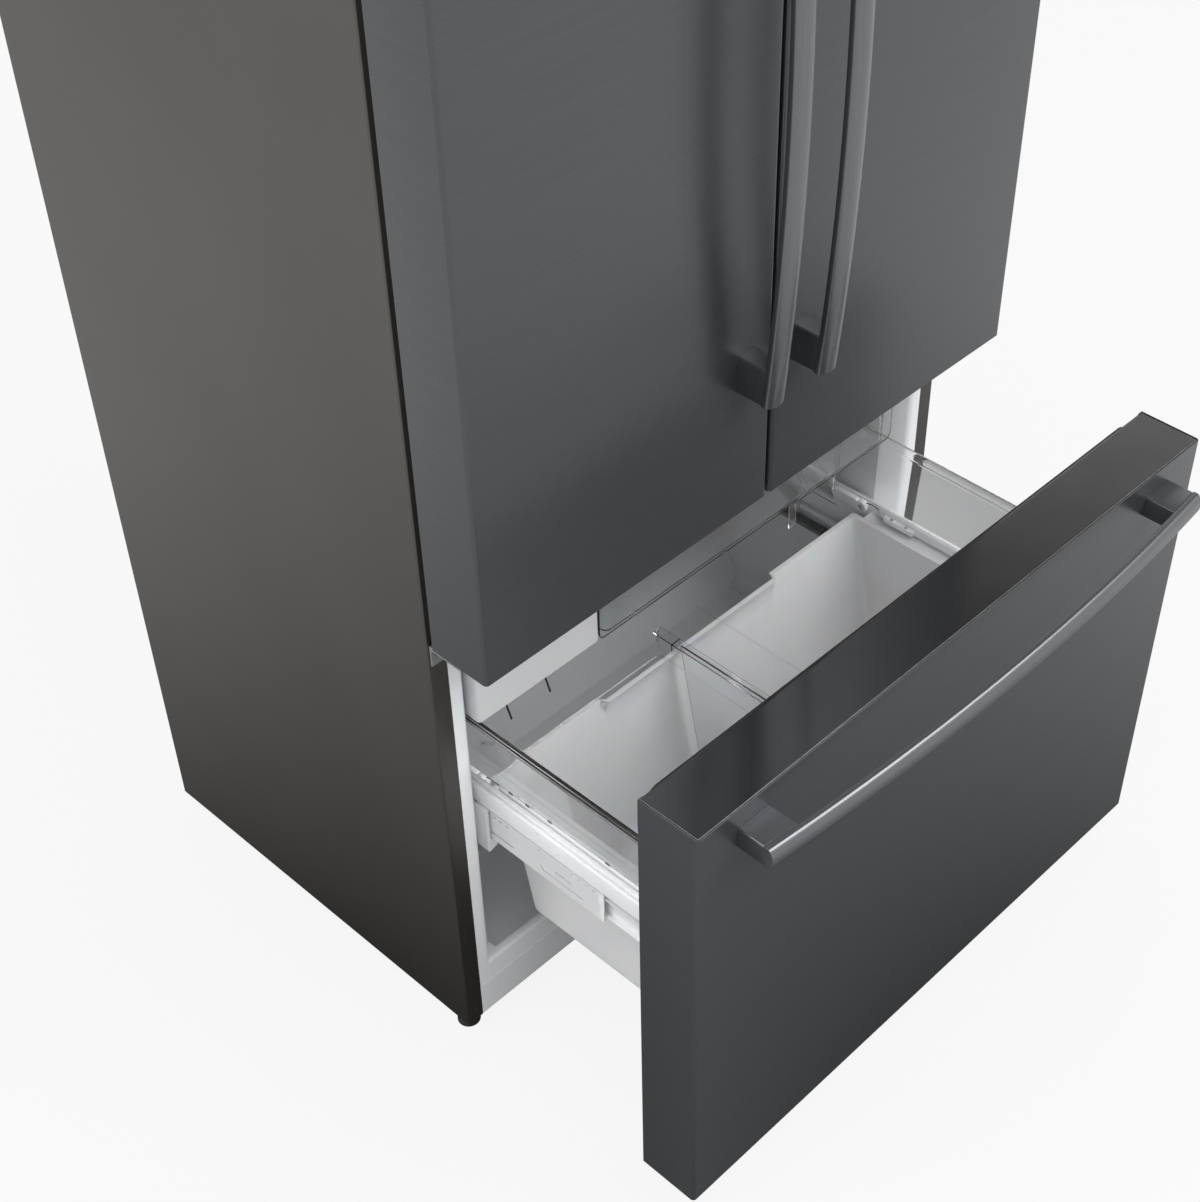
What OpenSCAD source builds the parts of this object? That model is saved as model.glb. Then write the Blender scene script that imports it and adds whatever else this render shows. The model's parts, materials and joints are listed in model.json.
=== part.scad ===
// French-door refrigerator with a bottom freezer drawer, 36-inch class.
// The freezer drawer is drawn out to its stop and both fridge doors are shut.
// Millimetres. +X is to the right, +Y to the back and +Z up. The origin is on the floor,
// under the middle of the whole piece. Inside this file a piece is drawn in cabinet
// measure, with y = 0 on the cabinet's front plane and z = 0 at the side panels' bottom.

/* [Cabinet] */
// Width over the two side panels
case_w = 905.4; // [895:0.1:915]
// Height of the side panels
case_h = 1778; // [1740:1:1820]
// Depth from the front plane to the back panel
case_d = 612; // [606:1:660]
// Height of the cabinet above the floor
foot_h = 20; // [18:1:24]
// Thickness of the sheet steel
sheet_t = 1.2; // [1:0.1:1.5]
// Width of a side panel's folded front edge
flange_w = 25.7; // [24:0.1:27]
// Height of the strip under the freezer's mouth
strip_h = 56.5; // [50:0.5:58]
// Thickness of the moulded liners
liner_t = 2.5; // [2:0.1:3]
// Insulation beside the freezer, with the outer sheet
freezer_wall = 66.7; // [64:0.1:69]
// Insulation beside the fridge, with the outer sheet
fridge_wall = 47.7; // [46:0.1:50]
// Insulation behind the compartments
rear_wall = 64; // [60:1:70]
// Insulation above the fridge
roof_wall = 43; // [40:1:55]

/* [Freezer] */
// Height of the freezer's floor
freezer_floor = 70; // [67:1:73]
// Height of the lip at the freezer's mouth
lip_z = 92; // [88:1:96]
// Distance of the flat floor's end from the cabinet's back
floor_rear = 329; // [328:1:333]
// Backward lean of the wall behind the floor, per height
lean_share = 0.41; // [0.4:0.01:0.43]
// Height of the ledge over the machine space
ledge_z = 340; // [337:1:344]
// Depth of the space behind the cold-air cover
cold_d = 65.5; // [62:0.5:70]
// Height of the space for the machinery
machine_h = 285; // [275:1:288]
// Depth of the space for the machinery
machine_d = 176; // [170:1:178]

/* [Doors] */
// Height of the doors' bottom edge
door_z = 680.4; // [678:0.1:683]
// Height by which the doors stand above the side panels
door_rise = 7; // [5:0.5:9]
// Thickness of a door
door_t = 86; // [82:1:90]
// Gap between a door and the cabinet
door_gap = 9; // [8.8:0.1:9.4]
// Gap between the two doors
centre_gap = 6; // [5:0.1:7]
// Gap between the drawer front and the doors
drawer_gap = 9.9; // [9.4:0.1:11]
// Height of the drawer front's bottom edge
drawer_z = 17; // [12:1:20]
// Thickness of the drawer front
drawer_t = 85; // [80:1:90]
// Radius of the folded front corners
fold_r = 5; // [4:0.5:7]
// Thickness of a door seal
seal_t = 8.5; // [8.2:0.1:8.7]
// Width of a door seal
seal_w = 16; // [14:0.5:17]
// Distance of a hinge pin from the cabinet's side
pin_in = 22.7; // [22.5:0.1:24]
// Distance of a hinge pin in front of the cabinet
pin_out = 45; // [44:0.5:48]
// Radius of a hinge pin
pin_r = 6; // [5:0.5:7]

/* [Handles] */
// Height of a handle bar's section
bar_h = 30; // [28:1:33]
// Thickness of a handle bar
bar_t = 13; // [11:0.5:15]
// Straight part of the bar's section next to the hand
bar_flat = 5; // [3:0.5:6]
// Reach of a bar's ends from the door
bar_stand = 35; // [32:1:40]
// Bow of a bar between its ends
bar_bow = 20; // [14:1:26]
// Length of a handle mount
mount_l = 49.5; // [44:0.5:56]
// Distance of the drawer handle's ends from the sides
bar_in = 59.7; // [54:0.1:80]
// Height of the drawer handle's middle
drawer_bar_z = 628.5; // [610:0.5:640]
// Distance of a door handle's lower end above the door's bottom
door_bar_up = 175.6; // [150:0.1:200]
// Distance of a door handle's middle from the cabinet's middle
door_bar_x = 44.5; // [40:0.5:50]

/* [Drawer] */
// Gap between the shut drawer's pinions and the leaning wall
travel_gap = 17.05; // [15:0.05:24]
// Height of the bin's bottom
bin_z = 150; // [140:1:160]
// Height of the bin's rim
rim_z = 375; // [374:0.5:376]
// Gap between the bin's rim and the drawer's frame
bin_side = 22; // [21:0.5:27]
// Gap between the bin and the back of the drawer front
bin_off = 25.6; // [22:0.1:30]
// Reach of the bin's rim behind that plane
bin_back = 36; // [32:1:38]
// Forward lean of the bin's back, per height
bin_lean_share = 0.213; // [0.2:0.001:0.23]
// Step in the middle of the bin's back
notch = 11; // [9:0.5:13]
// Half length of that step
notch_half = 165; // [150:1:175]
// Wall of the bin
bin_t = 3; // [2:0.5:4]
// Height of the clear collar's edge
collar_z = 497.5; // [490:0.5:498]
// Reach of the collar into the cabinet
collar_back = 130; // [120:1:140]
// Place of the divider across the bin
divider_x = -28.5; // [-40:0.5:-20]

/* [Slides] */
// Height of the slides' middle
slide_z = 327; // [326:0.5:328]
// Height of a middle slide channel
channel_h = 50; // [49:0.5:51]
// Gap between the slides and the leaning wall
slide_gap = 35.3; // [30:0.1:50]
// Thickness of the slide steel
rail_t = 1.5; // [1.3:0.1:1.7]
// Tooth pitch of pinions and racks
tooth_pitch = 5; // [4.9:0.1:5.1]
// Radius of the shaft that keeps both slides together
shaft_r = 5; // [4:0.5:5.5]

/* [Fridge inside] */
// Number of shelves, with the crispers' cover
shelves = 4; // [3:1:5]
// Thickness of the shelf glass
glass_t = 4; // [3:0.5:5]
// Height of the crispers
crisper_h = 205; // [180:1:210]
// Distance of the crispers behind the front plane
crisper_y = 118; // [116:1:125]
// Number of bins on each door
door_bins = 3; // [2:1:4]
// Height of a door bin
door_bin_h = 95; // [80:1:105]

/* [Upper freezer] */
// Height of the tray's bottom
tray_z = 500; // [499:0.5:504]
// Height of the tray's front
tray_h = 104; // [90:1:110]
// Gap behind the tray
tray_rear = 80; // [70:1:110]
// Boundary between the ice bin and the tray
tray_x = -181; // [-190:1:-170]

/* [Hidden] */
$fn = 48;
// Overrun of every cut, gap of pieces that lie against each other, and running clearance
cut = 2;
seat = 0.4;
run = 0.05;
// Steps of a rounded corner in an outline, and facets of the wide bows
arc_steps = 6;
bow_fn = 720;

// Small sizes of the cabinet
frame_strip = 18.2;
mouth_d = 30;
sheet_fold = 2.2;
lip_d = 14;
lip_run = 8;
edge_r = 5;
room_r = 24;
frame_up = 17;
room_gap = 57;
mouth_drop = 8;
foam_gap = 0.5;

// Main places worked out from the sizes above
half = case_w / 2;
freezer_half = half - freezer_wall;
fridge_half = half - fridge_wall;
frame_half = half - flange_w;
mouth_half = frame_half - frame_strip;
liner_back = case_d - rear_wall;
floor_d = case_d - floor_rear;
machine_y = case_d - machine_d;
cover_y = liner_back - liner_t - cold_d;
drawer_bar_l = case_w - 2 * bar_in;
drawer_top = door_z - drawer_gap;
door_top = case_h + door_rise;
bar_reach = bar_stand + bar_bow + bar_t;
freezer_top = door_z - room_gap / 2 - mouth_drop;
fridge_floor = freezer_top + room_gap;
fridge_top = case_h - roof_wall;
lean_k = sqrt(1 + lean_share * lean_share);
function wall_at(z) = floor_d + lean_share * (z - freezer_floor);

// The pinions run back to the leaning wall, which gives the drawer's travel
teeth = 12;
shaft_y = 42;
shaft_z = 286;
pitch_r = teeth * tooth_pitch / PI / 2;
drawer_travel = wall_at(shaft_z - pitch_r) - shaft_y - travel_gap;
drawer_back = door_gap + drawer_travel;
origin_y = (drawer_back + drawer_t + bar_reach - case_d) / 2;

// Outlines are lists of [across, along, corner radius]
function unit_of(v) = v / norm(v);
function turn_of(a) = a > 180 ? a - 360 : a < -180 ? a + 360 : a;
function corner(a, b, c, r) =
    r <= 0 ? [b] :
    let (to_a = unit_of(a - b), to_c = unit_of(c - b), half_angle = acos(to_a * to_c) / 2)
    let (middle = b + unit_of(to_a + to_c) * r / sin(half_angle))
    let (start = b + to_a * r / tan(half_angle) - middle)
    let (stop = b + to_c * r / tan(half_angle) - middle)
    let (from = atan2(start.y, start.x), turn = turn_of(atan2(stop.y, stop.x) - from))
    [
        for (i = [0:arc_steps])
            let (a = from + turn * i / arc_steps) middle + r * [cos(a), sin(a)]
    ];
function flat_of(p) = [p.x, p.y];
function outline(path) = [
    for (i = [0:len(path) - 1])
        each corner(
            flat_of(path[(i + len(path) - 1) % len(path)]), flat_of(path[i]),
            flat_of(path[(i + 1) % len(path)]), path[i][2])
];
function frame_path(low, high, r) = [
    [low.x, low.y, r], [high.x, low.y, r], [high.x, high.y, r], [low.x, high.y, r]
];

// Shapes drawn from corner to corner, or along one axis
module block(low, high) {
    translate(low) cube(high - low);
}
module upright(z0, z1) {
    translate([0, 0, z0]) linear_extrude(z1 - z0) children();
}
module across(x0, x1) {
    translate([x0, 0, 0]) rotate([90, 0, 90]) linear_extrude(x1 - x0) children();
}
module lengthways(y0, y1) {
    translate([0, y1, 0]) rotate([90, 0, 0]) linear_extrude(y1 - y0) children();
}
module pair() {
    children();
    mirror([1, 0, 0]) children();
}
module stand() {
    translate([0, origin_y, foot_h]) children();
}

// Cabinet: folded steel panels, insulation and moulded liners
module case_side() {
    upright(0, case_h)
        polygon(outline([
            [half, 0, sheet_fold], [half, case_d, 0], [half - sheet_t, case_d, 0],
            [half - sheet_t, sheet_t, 0], [frame_half, sheet_t, 0], [frame_half, 0, 0]
        ]));
}
module outer_case() {
    color("#4b4845") stand() {
        pair() case_side();
        across(seat - frame_half, frame_half - seat)
            polygon([
                [0, case_h - flange_w], [sheet_t, case_h - flange_w], [sheet_t, case_h - sheet_t],
                [flange_w, case_h - sheet_t], [flange_w, case_h], [0, case_h]
            ]);
        block(
            [sheet_t + seat - half, sheet_t + seat, case_h - sheet_t],
            [half - sheet_t - seat, case_d, case_h]);
    }
}

// Back panel with shallow swaged bands that stiffen it
swage_h = 60;
swage_in = 90;
swage_d = 0.5;
swage_count = 4;
module back_panel() {
    low = machine_h + seat;
    high = case_h - sheet_t - seat;
    pitch = (high - low) / swage_count;
    color("#8b8d8f") stand() difference() {
        block([sheet_t + seat - half, case_d - sheet_t, low], [half - sheet_t - seat, case_d, high]);
        for (i = [0:swage_count - 1])
            lengthways(case_d - swage_d, case_d + cut)
                polygon(outline(frame_path(
                    [swage_in - half, low + pitch * i + swage_h],
                    [half - swage_in, low + pitch * (i + 1) - swage_h], room_r)));
    }
}

// Base pan with corner blocks for the front feet and ears for the rear rollers
pan_y = 17;
pan_rise = 34;
foot_in = 17.7;
foot_y = 20.5;
foot_r = 15.5;
foot_t = 7;
stud_r = 5;
boss_h = 16;
boss_w = 27;
roller_in = 52;
roller_rear = 60;
roller_w = 18;
roller_axle_r = 4;
ear_h = 12;
ear_w = 26;
ear_t = 3;
module at_foot(side) {
    translate([side * (half - foot_in), foot_y, 0]) children();
}
module at_rollers() {
    translate([half - roller_in, case_d - roller_rear, 0]) children();
}
module base_pan() {
    side = half - sheet_t - seat;
    color("#2b2a29") stand() difference() {
        union() {
            block([-side, pan_y, 0], [side, case_d - sheet_t - seat, sheet_t]);
            block([-frame_half, pan_y, 0], [frame_half, pan_y + sheet_t, pan_rise]);
            for (side = [-1, 1])
                at_foot(side)
                    block([-boss_w / 2, fold_d + seat - foot_y, 0], [boss_w / 2, boss_w / 2, boss_h]);
            pair() at_rollers()
                for (place = [-roller_w / 2 - seat - ear_t, roller_w / 2 + seat])
                    block([place, -ear_w / 2, -ear_h], [place + ear_t, ear_w / 2, ear_h]);
        }
        for (side = [-1, 1])
            at_foot(side) translate([0, 0, -cut]) cylinder(r = stud_r + run, h = boss_h + 2 * cut);
        pair() at_rollers() {
            block(
                [-roller_w / 2 - seat, -foot_h - cut, -cut],
                [roller_w / 2 + seat, foot_h + cut, foot_h]);
            translate([-roller_w, 0, 0]) rotate([0, 90, 0])
                cylinder(r = roller_axle_r + run, h = 2 * roller_w);
        }
    }
}

// Levelling foot: a disc with a hexagon neck on a threaded stud
hex_r = 9;
hex_t = 6;
stud_up = 6;
module levelling_foot(side) {
    color("#1c1c1c") stand() at_foot(side) {
        translate([0, 0, -foot_h]) rotate_extrude()
            polygon(outline([
                [0, 0, 0], [foot_r, 0, sheet_t], [foot_r, foot_t / 2, sheet_t],
                [hex_r, foot_t, 0], [0, foot_t, 0]
            ]));
        translate([0, 0, foot_t - foot_h]) cylinder(r = hex_r, h = hex_t, $fn = 6);
        translate([0, 0, foot_t - foot_h]) cylinder(r = stud_r, h = foot_h - foot_t + boss_h + stud_up);
    }
}
module foot_left() {
    levelling_foot(-1);
}
module foot_right() {
    levelling_foot(1);
}
module rear_rollers() {
    tread_r = foot_h;
    color("#2a2a2a") stand() pair() at_rollers() rotate([0, 90, 0]) {
        translate([0, 0, -roller_w / 2]) rotate_extrude()
            polygon(outline([
                [0, 0, 0], [tread_r, 0, 2 * sheet_t], [tread_r, roller_w, 2 * sheet_t], [0, roller_w, 0]
            ]));
        translate([0, 0, -roller_w / 2 - ear_t - stud_up])
            cylinder(r = roller_axle_r, h = roller_w + 2 * ear_t + 2 * stud_up);
    }
}

// Space of the freezer, grown outwards by a wall: flat floor behind a lip, leaning back wall
// and a ledge over the machinery
module freezer_room(grow) {
    back = liner_back - liner_t + grow;
    wide = freezer_half + grow;
    mouth = mouth_half + grow;
    base = freezer_floor - grow;
    roof = freezer_top + grow;
    shelf = ledge_z - grow;
    wall_foot = floor_d + grow * (lean_k - lean_share);
    wall_head = floor_d + lean_share * (ledge_z - freezer_floor - grow) + grow * lean_k;
    intersection() {
        across(-half, half)
            polygon(outline([
                [-cut, lip_z - grow, 0], [lip_d - grow, lip_z - grow, edge_r],
                [lip_d + lip_run - grow, base, edge_r], [wall_foot, base, edge_r],
                [wall_head, shelf, edge_r], [back, shelf, edge_r], [back, roof, edge_r],
                [-cut, roof, 0]
            ]));
        union() {
            intersection() {
                upright(0, case_h)
                    polygon(outline([
                        [-wide, -cut, 0], [wide, -cut, 0], [wide, back, room_r], [-wide, back, room_r]
                    ]));
                lengthways(-cut, case_d)
                    polygon(outline([
                        [-wide, base, room_r], [wide, base, room_r], [wide, roof, edge_r],
                        [-wide, roof, edge_r]
                    ]));
            }
            upright(lip_z - grow, roof)
                polygon([
                    [-mouth, -cut], [mouth, -cut], [mouth, 0], [wide, mouth_d], [-wide, mouth_d],
                    [-mouth, 0]
                ]);
        }
    }
}
module freezer_liner() {
    color("#e6e8ea") stand() difference() {
        union() {
            intersection() {
                freezer_room(liner_t);
                block([-half, 0, 0], [half, case_d, case_h]);
            }
            block(
                [seat - frame_half, 0, strip_h + seat],
                [frame_half - seat, liner_t, freezer_top + frame_up]);
        }
        freezer_room(0);
    }
}

// Space of the fridge, grown outwards by a wall
module fridge_room(grow) {
    back = liner_back - liner_t + grow;
    wide = fridge_half + grow;
    intersection() {
        upright(0, case_h)
            polygon(outline([
                [-wide, -cut, 0], [wide, -cut, 0], [wide, back, room_r], [-wide, back, room_r]
            ]));
        lengthways(-cut, case_d)
            polygon(outline(frame_path(
                [-wide, fridge_floor - grow], [wide, fridge_top + grow], edge_r)));
    }
}

// Heights of the shelves: the crispers' cover first, the others spread above it
cover_gap = 12;
shelf_frame_h = 8;
shelf_edge_h = 22;
shelf_back_gap = 34;
rib_d = 9;
rib_h = 9;
first_shelf = fridge_floor + crisper_h + cover_gap + shelf_edge_h;
shelf_pitch = (fridge_top - first_shelf) / shelves;
shelf_y = crisper_y + rib_d;
shelf_back = liner_back - shelf_back_gap;
function shelf_z(i) = first_shelf + shelf_pitch * i;
module fridge_liner() {
    color("#e9ebed") stand() {
        difference() {
            union() {
                intersection() {
                    fridge_room(liner_t);
                    block([-half, 0, 0], [half, case_d, case_h]);
                }
                block(
                    [seat - frame_half, 0, fridge_floor - liner_t],
                    [frame_half - seat, liner_t, case_h - flange_w - seat]);
            }
            fridge_room(0);
        }
        pair() for (i = [0:shelves - 1])
            block(
                [fridge_half - rib_d, shelf_y + glass_in, shelf_z(i) - shelf_frame_h - rib_h],
                [fridge_half + liner_t / 2, shelf_back, shelf_z(i) - shelf_frame_h]);
    }
}
module cabinet_foam() {
    side = half - sheet_t - seat;
    grown = liner_t + foam_gap;
    color("#d8c98a") stand() difference() {
        block(
            [-side, pan_y + sheet_t + seat, sheet_t + seat],
            [side, case_d - sheet_t - seat, case_h - sheet_t - seat]);
        freezer_room(grown);
        fridge_room(grown);
        block([-half, machine_y, -cut], [half, case_d + cut, machine_h + foam_gap]);
        for (side = [-1, 1])
            at_foot(side) block([-boss_w, -boss_w, -cut], [boss_w, boss_w, pan_rise]);
    }
}

// Folded strips across the front, between and under the compartments
fold_d = 12;
strip_t = 1.5;
module front_channel(low, high, thick) {
    across(seat - frame_half, frame_half - seat)
        polygon([
            [0, low], [fold_d, low], [fold_d, low + thick], [thick, low + thick],
            [thick, high - thick], [fold_d, high - thick], [fold_d, high], [0, high]
        ]);
}
module front_rail() {
    color("#2a2623") stand()
        front_channel(freezer_top + frame_up + seat, fridge_floor - liner_t - seat, sheet_t);
}
module base_strip() {
    color("#c9cbcd") stand() front_channel(seat, strip_h, strip_t);
}

// Hinges: a bracket under each door and a cranked plate over it, both with a fixed pin
hinge_t = 5.4;
hinge_gap = 1.5;
hinge_round = 12;
hinge_l = 30;
hinge_flange_t = 3;
hinge_drop = 24;
hinge_back = 62;
pin_depth = 16;
pin_x = half - pin_in;
cover_t = 2.4;
hinge_side = half - cover_t - seat;
module hinge_plan(back) {
    polygon(outline([
        [pin_x - hinge_l, -pin_out - hinge_round, hinge_round],
        [hinge_side, -pin_out - hinge_round, hinge_round], [hinge_side, back, 0],
        [pin_x - hinge_l, back, 0]
    ]));
}
module door_hinges() {
    low = door_z - hinge_gap - hinge_t;
    top = door_top + hinge_gap;
    color("#8f9194") stand() pair() {
        upright(low, low + hinge_t) hinge_plan(0);
        block([pin_x, -hinge_flange_t, low - hinge_drop], [hinge_side, 0, low]);
        translate([pin_x, -pin_out, low]) cylinder(r = pin_r, h = hinge_t + hinge_gap + pin_depth);
        upright(top, top + hinge_t) hinge_plan(hinge_back);
        block([pin_x - hinge_l, seat, case_h], [hinge_side, hinge_back, top]);
        translate([pin_x, -pin_out, door_top - pin_depth])
            cylinder(r = pin_r, h = hinge_gap + hinge_t + pin_depth);
    }
}
cover_h = 31;
cover_in = 112;
cover_round = 14;
cover_front = 70;
cover_rear = 74;
module cover_block(inset, low) {
    upright(low, case_h + cover_h - inset)
        polygon(outline(frame_path(
            [half - cover_in + inset, inset - cover_front], [half - inset, cover_rear - inset],
            cover_round - inset)));
}
module hinge_covers() {
    color("#3a3a3b") stand() pair() difference() {
        cover_block(0, case_h);
        translate([0, 0, -cut]) cover_block(cover_t, case_h);
        block([0, -half, 0], [case_w, 0, door_top + hinge_gap]);
    }
}

// Machinery: compressor on rubber feet, condenser, its fan, and a slotted cover
pot_in = 202.7;
pot_rear = 90;
pot_r = 66;
pot_h = 170;
pot_round = 40;
pot_foot_r = 13;
pot_foot_h = 14;
pot_foot_out = 74;
plate_t = 3;
module compressor() {
    base = sheet_t + pot_foot_h;
    color("#1f1f20") stand() translate([half - pot_in, case_d - pot_rear, 0]) {
        for (i = [-1, 1], j = [-1, 1])
            translate([i * pot_foot_out, j * pot_foot_out / 2, sheet_t])
                cylinder(r = pot_foot_r, h = pot_foot_h);
        block(
            [-pot_foot_out - pot_foot_r, -pot_foot_out / 2 - pot_foot_r, base],
            [pot_foot_out + pot_foot_r, pot_foot_out / 2 + pot_foot_r, base + plate_t]);
        translate([0, 0, base + plate_t]) rotate_extrude()
            polygon(outline([
                [0, 0, 0], [pot_r, 0, edge_r], [pot_r, pot_h, pot_round], [0, pot_h, 0]
            ]));
    }
}

// A finned coil: plates across straight tubes, laid out by rows
module coil(low, high, tube_r, rows, lines, fins, fin_t) {
    size = high - low;
    for (i = [0:rows - 1], j = [0:lines - 1])
        translate([low.x, low.y + size.y * (i + 0.5) / rows, low.z + size.z * (j + 0.5) / lines])
            rotate([0, 90, 0]) cylinder(r = tube_r, h = size.x, $fn = 24);
    for (i = [0:fins - 1])
        translate([low.x + (size.x - fin_t) * (i + 0.5) / fins, low.y, low.z])
            cube([fin_t, size.y, size.z]);
}
coil_tube_r = 4;
coil_fin_t = 1;
coil_rows = 3;
coil_lines = 5;
coil_fins = 10;
coil_in = 72.7;
coil_right = 130;
coil_front = 19;
coil_rear = 27;
coil_h = 190;
fan_rear = 92;
fan_y = case_d - fan_rear;
fan_z = 110;
fan_x = -60;
fan_r = 68;
fan_hub_r = 18;
fan_hub_h = 26;
fan_blades = 5;
fan_blade_t = 2;
fan_blade_w = 46;
fan_tilt = 32;
shroud_gap = 4;
shroud_t = 3;
axle_r = 3;
motor_r = 24;
motor_l = 34;
module condenser() {
    color("#26272a") stand() {
        coil(
            [coil_in - half, machine_y + coil_front, sheet_t + seat],
            [-coil_right, case_d - coil_rear, coil_h],
            coil_tube_r, coil_rows, coil_lines, coil_fins, coil_fin_t);
        translate([fan_x, fan_y, fan_z]) rotate([0, 90, 0]) {
            difference() {
                block(
                    [-fan_r - shroud_gap - shroud_t, -fan_r - shroud_gap - shroud_t, -fan_hub_h / 2],
                    [fan_z - sheet_t - seat, fan_r + shroud_gap + shroud_t, fan_hub_h / 2]);
                translate([0, 0, -fan_hub_h]) cylinder(r = fan_r + shroud_gap, h = 2 * fan_hub_h);
            }
            translate([0, 0, fan_hub_h / 2 + shroud_t]) cylinder(r = motor_r, h = motor_l);
            translate([0, 0, -fan_hub_h / 2 - shroud_t])
                cylinder(r = axle_r, h = fan_hub_h + shroud_t + motor_l);
            for (turn = [0, 90, 180, 270])
                rotate(turn) translate([motor_r - shroud_t, -shroud_t, fan_hub_h / 2])
                    cube([fan_r + shroud_gap + 2 * shroud_t - motor_r, 2 * shroud_t, shroud_t]);
        }
    }
}

// A bladed fan round Z, bored for its axle
module fan(r, hub_r, hub_h, blade_w, bore_r) {
    difference() {
        union() {
            translate([0, 0, -hub_h / 2]) cylinder(r = hub_r, h = hub_h);
            intersection() {
                translate([0, 0, -hub_h / 2]) cylinder(r = r, h = hub_h);
                for (i = [0:fan_blades - 1])
                    rotate(360 * i / fan_blades) translate([hub_r - cut, 0, 0]) rotate([fan_tilt, 0, 0])
                        translate([0, -blade_w / 2, -fan_blade_t / 2])
                            cube([r - hub_r + 2 * cut, blade_w, fan_blade_t]);
            }
        }
        translate([0, 0, -hub_h]) cylinder(r = bore_r, h = 2 * hub_h);
    }
}
module condenser_fan() {
    color("#303236") stand() translate([fan_x, fan_y, fan_z]) rotate([0, 90, 0])
        fan(fan_r, fan_hub_r, fan_hub_h - seat, fan_blade_w, axle_r + run);
}
slot_w = 5;
slot_pitch = 14;
slot_h = 70;
slot_in = 60;
slot_rows = 2;
module machine_cover() {
    count = floor((case_w - 2 * slot_in) / slot_pitch);
    color("#3a3b3c") stand() difference() {
        block(
            [sheet_t + seat - half, case_d - sheet_t, 0],
            [half - sheet_t - seat, case_d, machine_h - seat]);
        for (i = [0:count - 1], j = [0:slot_rows - 1])
            translate([
                slot_in - half + slot_pitch * (i + 0.5), case_d,
                machine_h * (j + 0.5) / slot_rows
            ])
                block([-slot_w / 2, -cut - sheet_t, -slot_h / 2], [slot_w / 2, cut, slot_h / 2]);
    }
}

// Cold side: evaporator with its fan behind a slotted cover
ice_coil_side = 146;
ice_coil_front = 14;
ice_coil_rear = 7.5;
ice_coil_rows = 2;
ice_coil_lines = 4;
ice_coil_fins = 12;
ice_coil_up = 20;
ice_coil_h = 150;
cold_fan_up = 250;
cold_fan_in = 30;
cold_fan_y = cover_y + cold_fan_in;
cold_fan_r = 44;
cold_hub_r = 14;
cold_hub_h = 18;
cold_blade_w = 26;
cover_plate_t = 3;
vent_w = 90;
vent_h = 8;
vent_pitch = 20;
vent_share = 0.6;
module evaporator() {
    wall = liner_back - liner_t;
    coil_half = freezer_half - ice_coil_side;
    front = cover_y + ice_coil_front;
    top = ledge_z + ice_coil_up + ice_coil_h;
    color("#b9bcbf") stand() {
        coil(
            [-coil_half, front, ledge_z + ice_coil_up], [coil_half, wall - ice_coil_rear, top],
            coil_tube_r, ice_coil_rows, ice_coil_lines, ice_coil_fins, coil_fin_t);
        for (place = [-coil_half, coil_half])
            across(place - plate_t / 2, place + plate_t / 2)
                polygon(outline([
                    [front, ledge_z + seat, 0], [wall - seat, ledge_z + seat, edge_r],
                    [wall - seat, top, 0], [front, top, 0]
                ]));
        translate([0, 0, ledge_z + cold_fan_up]) {
            translate([0, wall - seat, 0]) rotate([90, 0, 0])
                cylinder(r = motor_r, h = wall - cold_fan_y - cold_hub_h);
            translate([0, wall - seat, 0]) rotate([90, 0, 0])
                cylinder(r = axle_r, h = wall - cold_fan_y + cold_hub_h / 2);
        }
    }
}
module evaporator_fan() {
    color("#e4e6e8") stand() translate([0, cold_fan_y, ledge_z + cold_fan_up]) rotate([90, 0, 0])
        fan(cold_fan_r, cold_hub_r, cold_hub_h, cold_blade_w, axle_r + run);
}
module evaporator_cover() {
    color("#e2e4e6") stand() difference() {
        lengthways(cover_y, cover_y + cover_plate_t)
            polygon(outline([
                [seat - freezer_half, ledge_z + seat, 0], [freezer_half - seat, ledge_z + seat, 0],
                [freezer_half - seat, freezer_top - seat, edge_r],
                [seat - freezer_half, freezer_top - seat, edge_r]
            ]));
        for (side = [-1, 0, 1], i = [0, 1])
            translate([side * freezer_half * vent_share, cover_y, 0]) {
                block(
                    [-vent_w, -cut, ledge_z + vent_pitch * (i + 1)],
                    [vent_w, cut + cover_plate_t, ledge_z + vent_pitch * (i + 1) + vent_h]);
                block(
                    [-vent_w, -cut, freezer_top - vent_pitch * (i + 2)],
                    [vent_w, cut + cover_plate_t, freezer_top - vent_pitch * (i + 2) + vent_h]);
            }
    }
}

// Fridge inside: air duct, shelves in their frames, crispers, controls and lamps
duct_half = 75;
duct_d = 18;
duct_up = 8;
duct_vent_half = 40;
module air_duct() {
    back = liner_back - liner_t - seat;
    color("#dfe2e4") stand() difference() {
        upright(fridge_floor + duct_up, fridge_top - duct_up)
            polygon(outline([
                [-duct_half - duct_d, back, 0], [-duct_half, back - duct_d, edge_r],
                [duct_half, back - duct_d, edge_r], [duct_half + duct_d, back, 0]
            ]));
        for (i = [0:shelves - 1], side = [-1, 1])
            translate([side * duct_half / 2, back - duct_d, shelf_z(i) + shelf_pitch / 2])
                block(
                    [-duct_vent_half / 2, -cut, -vent_h / 2],
                    [duct_vent_half / 2, duct_d / 2, vent_h / 2]);
    }
}
shelf_in = 2;
shelf_rim = 14;
glass_in = 5;
module glass_shelves() {
    side = fridge_half - shelf_in - glass_in;
    color("#cfe3e0", 0.5) stand() for (i = [0:shelves - 1])
        upright(shelf_z(i), shelf_z(i) + glass_t)
            polygon(outline(frame_path(
                [-side, shelf_y + glass_in], [side, shelf_back - glass_in], edge_r)));
}
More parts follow.
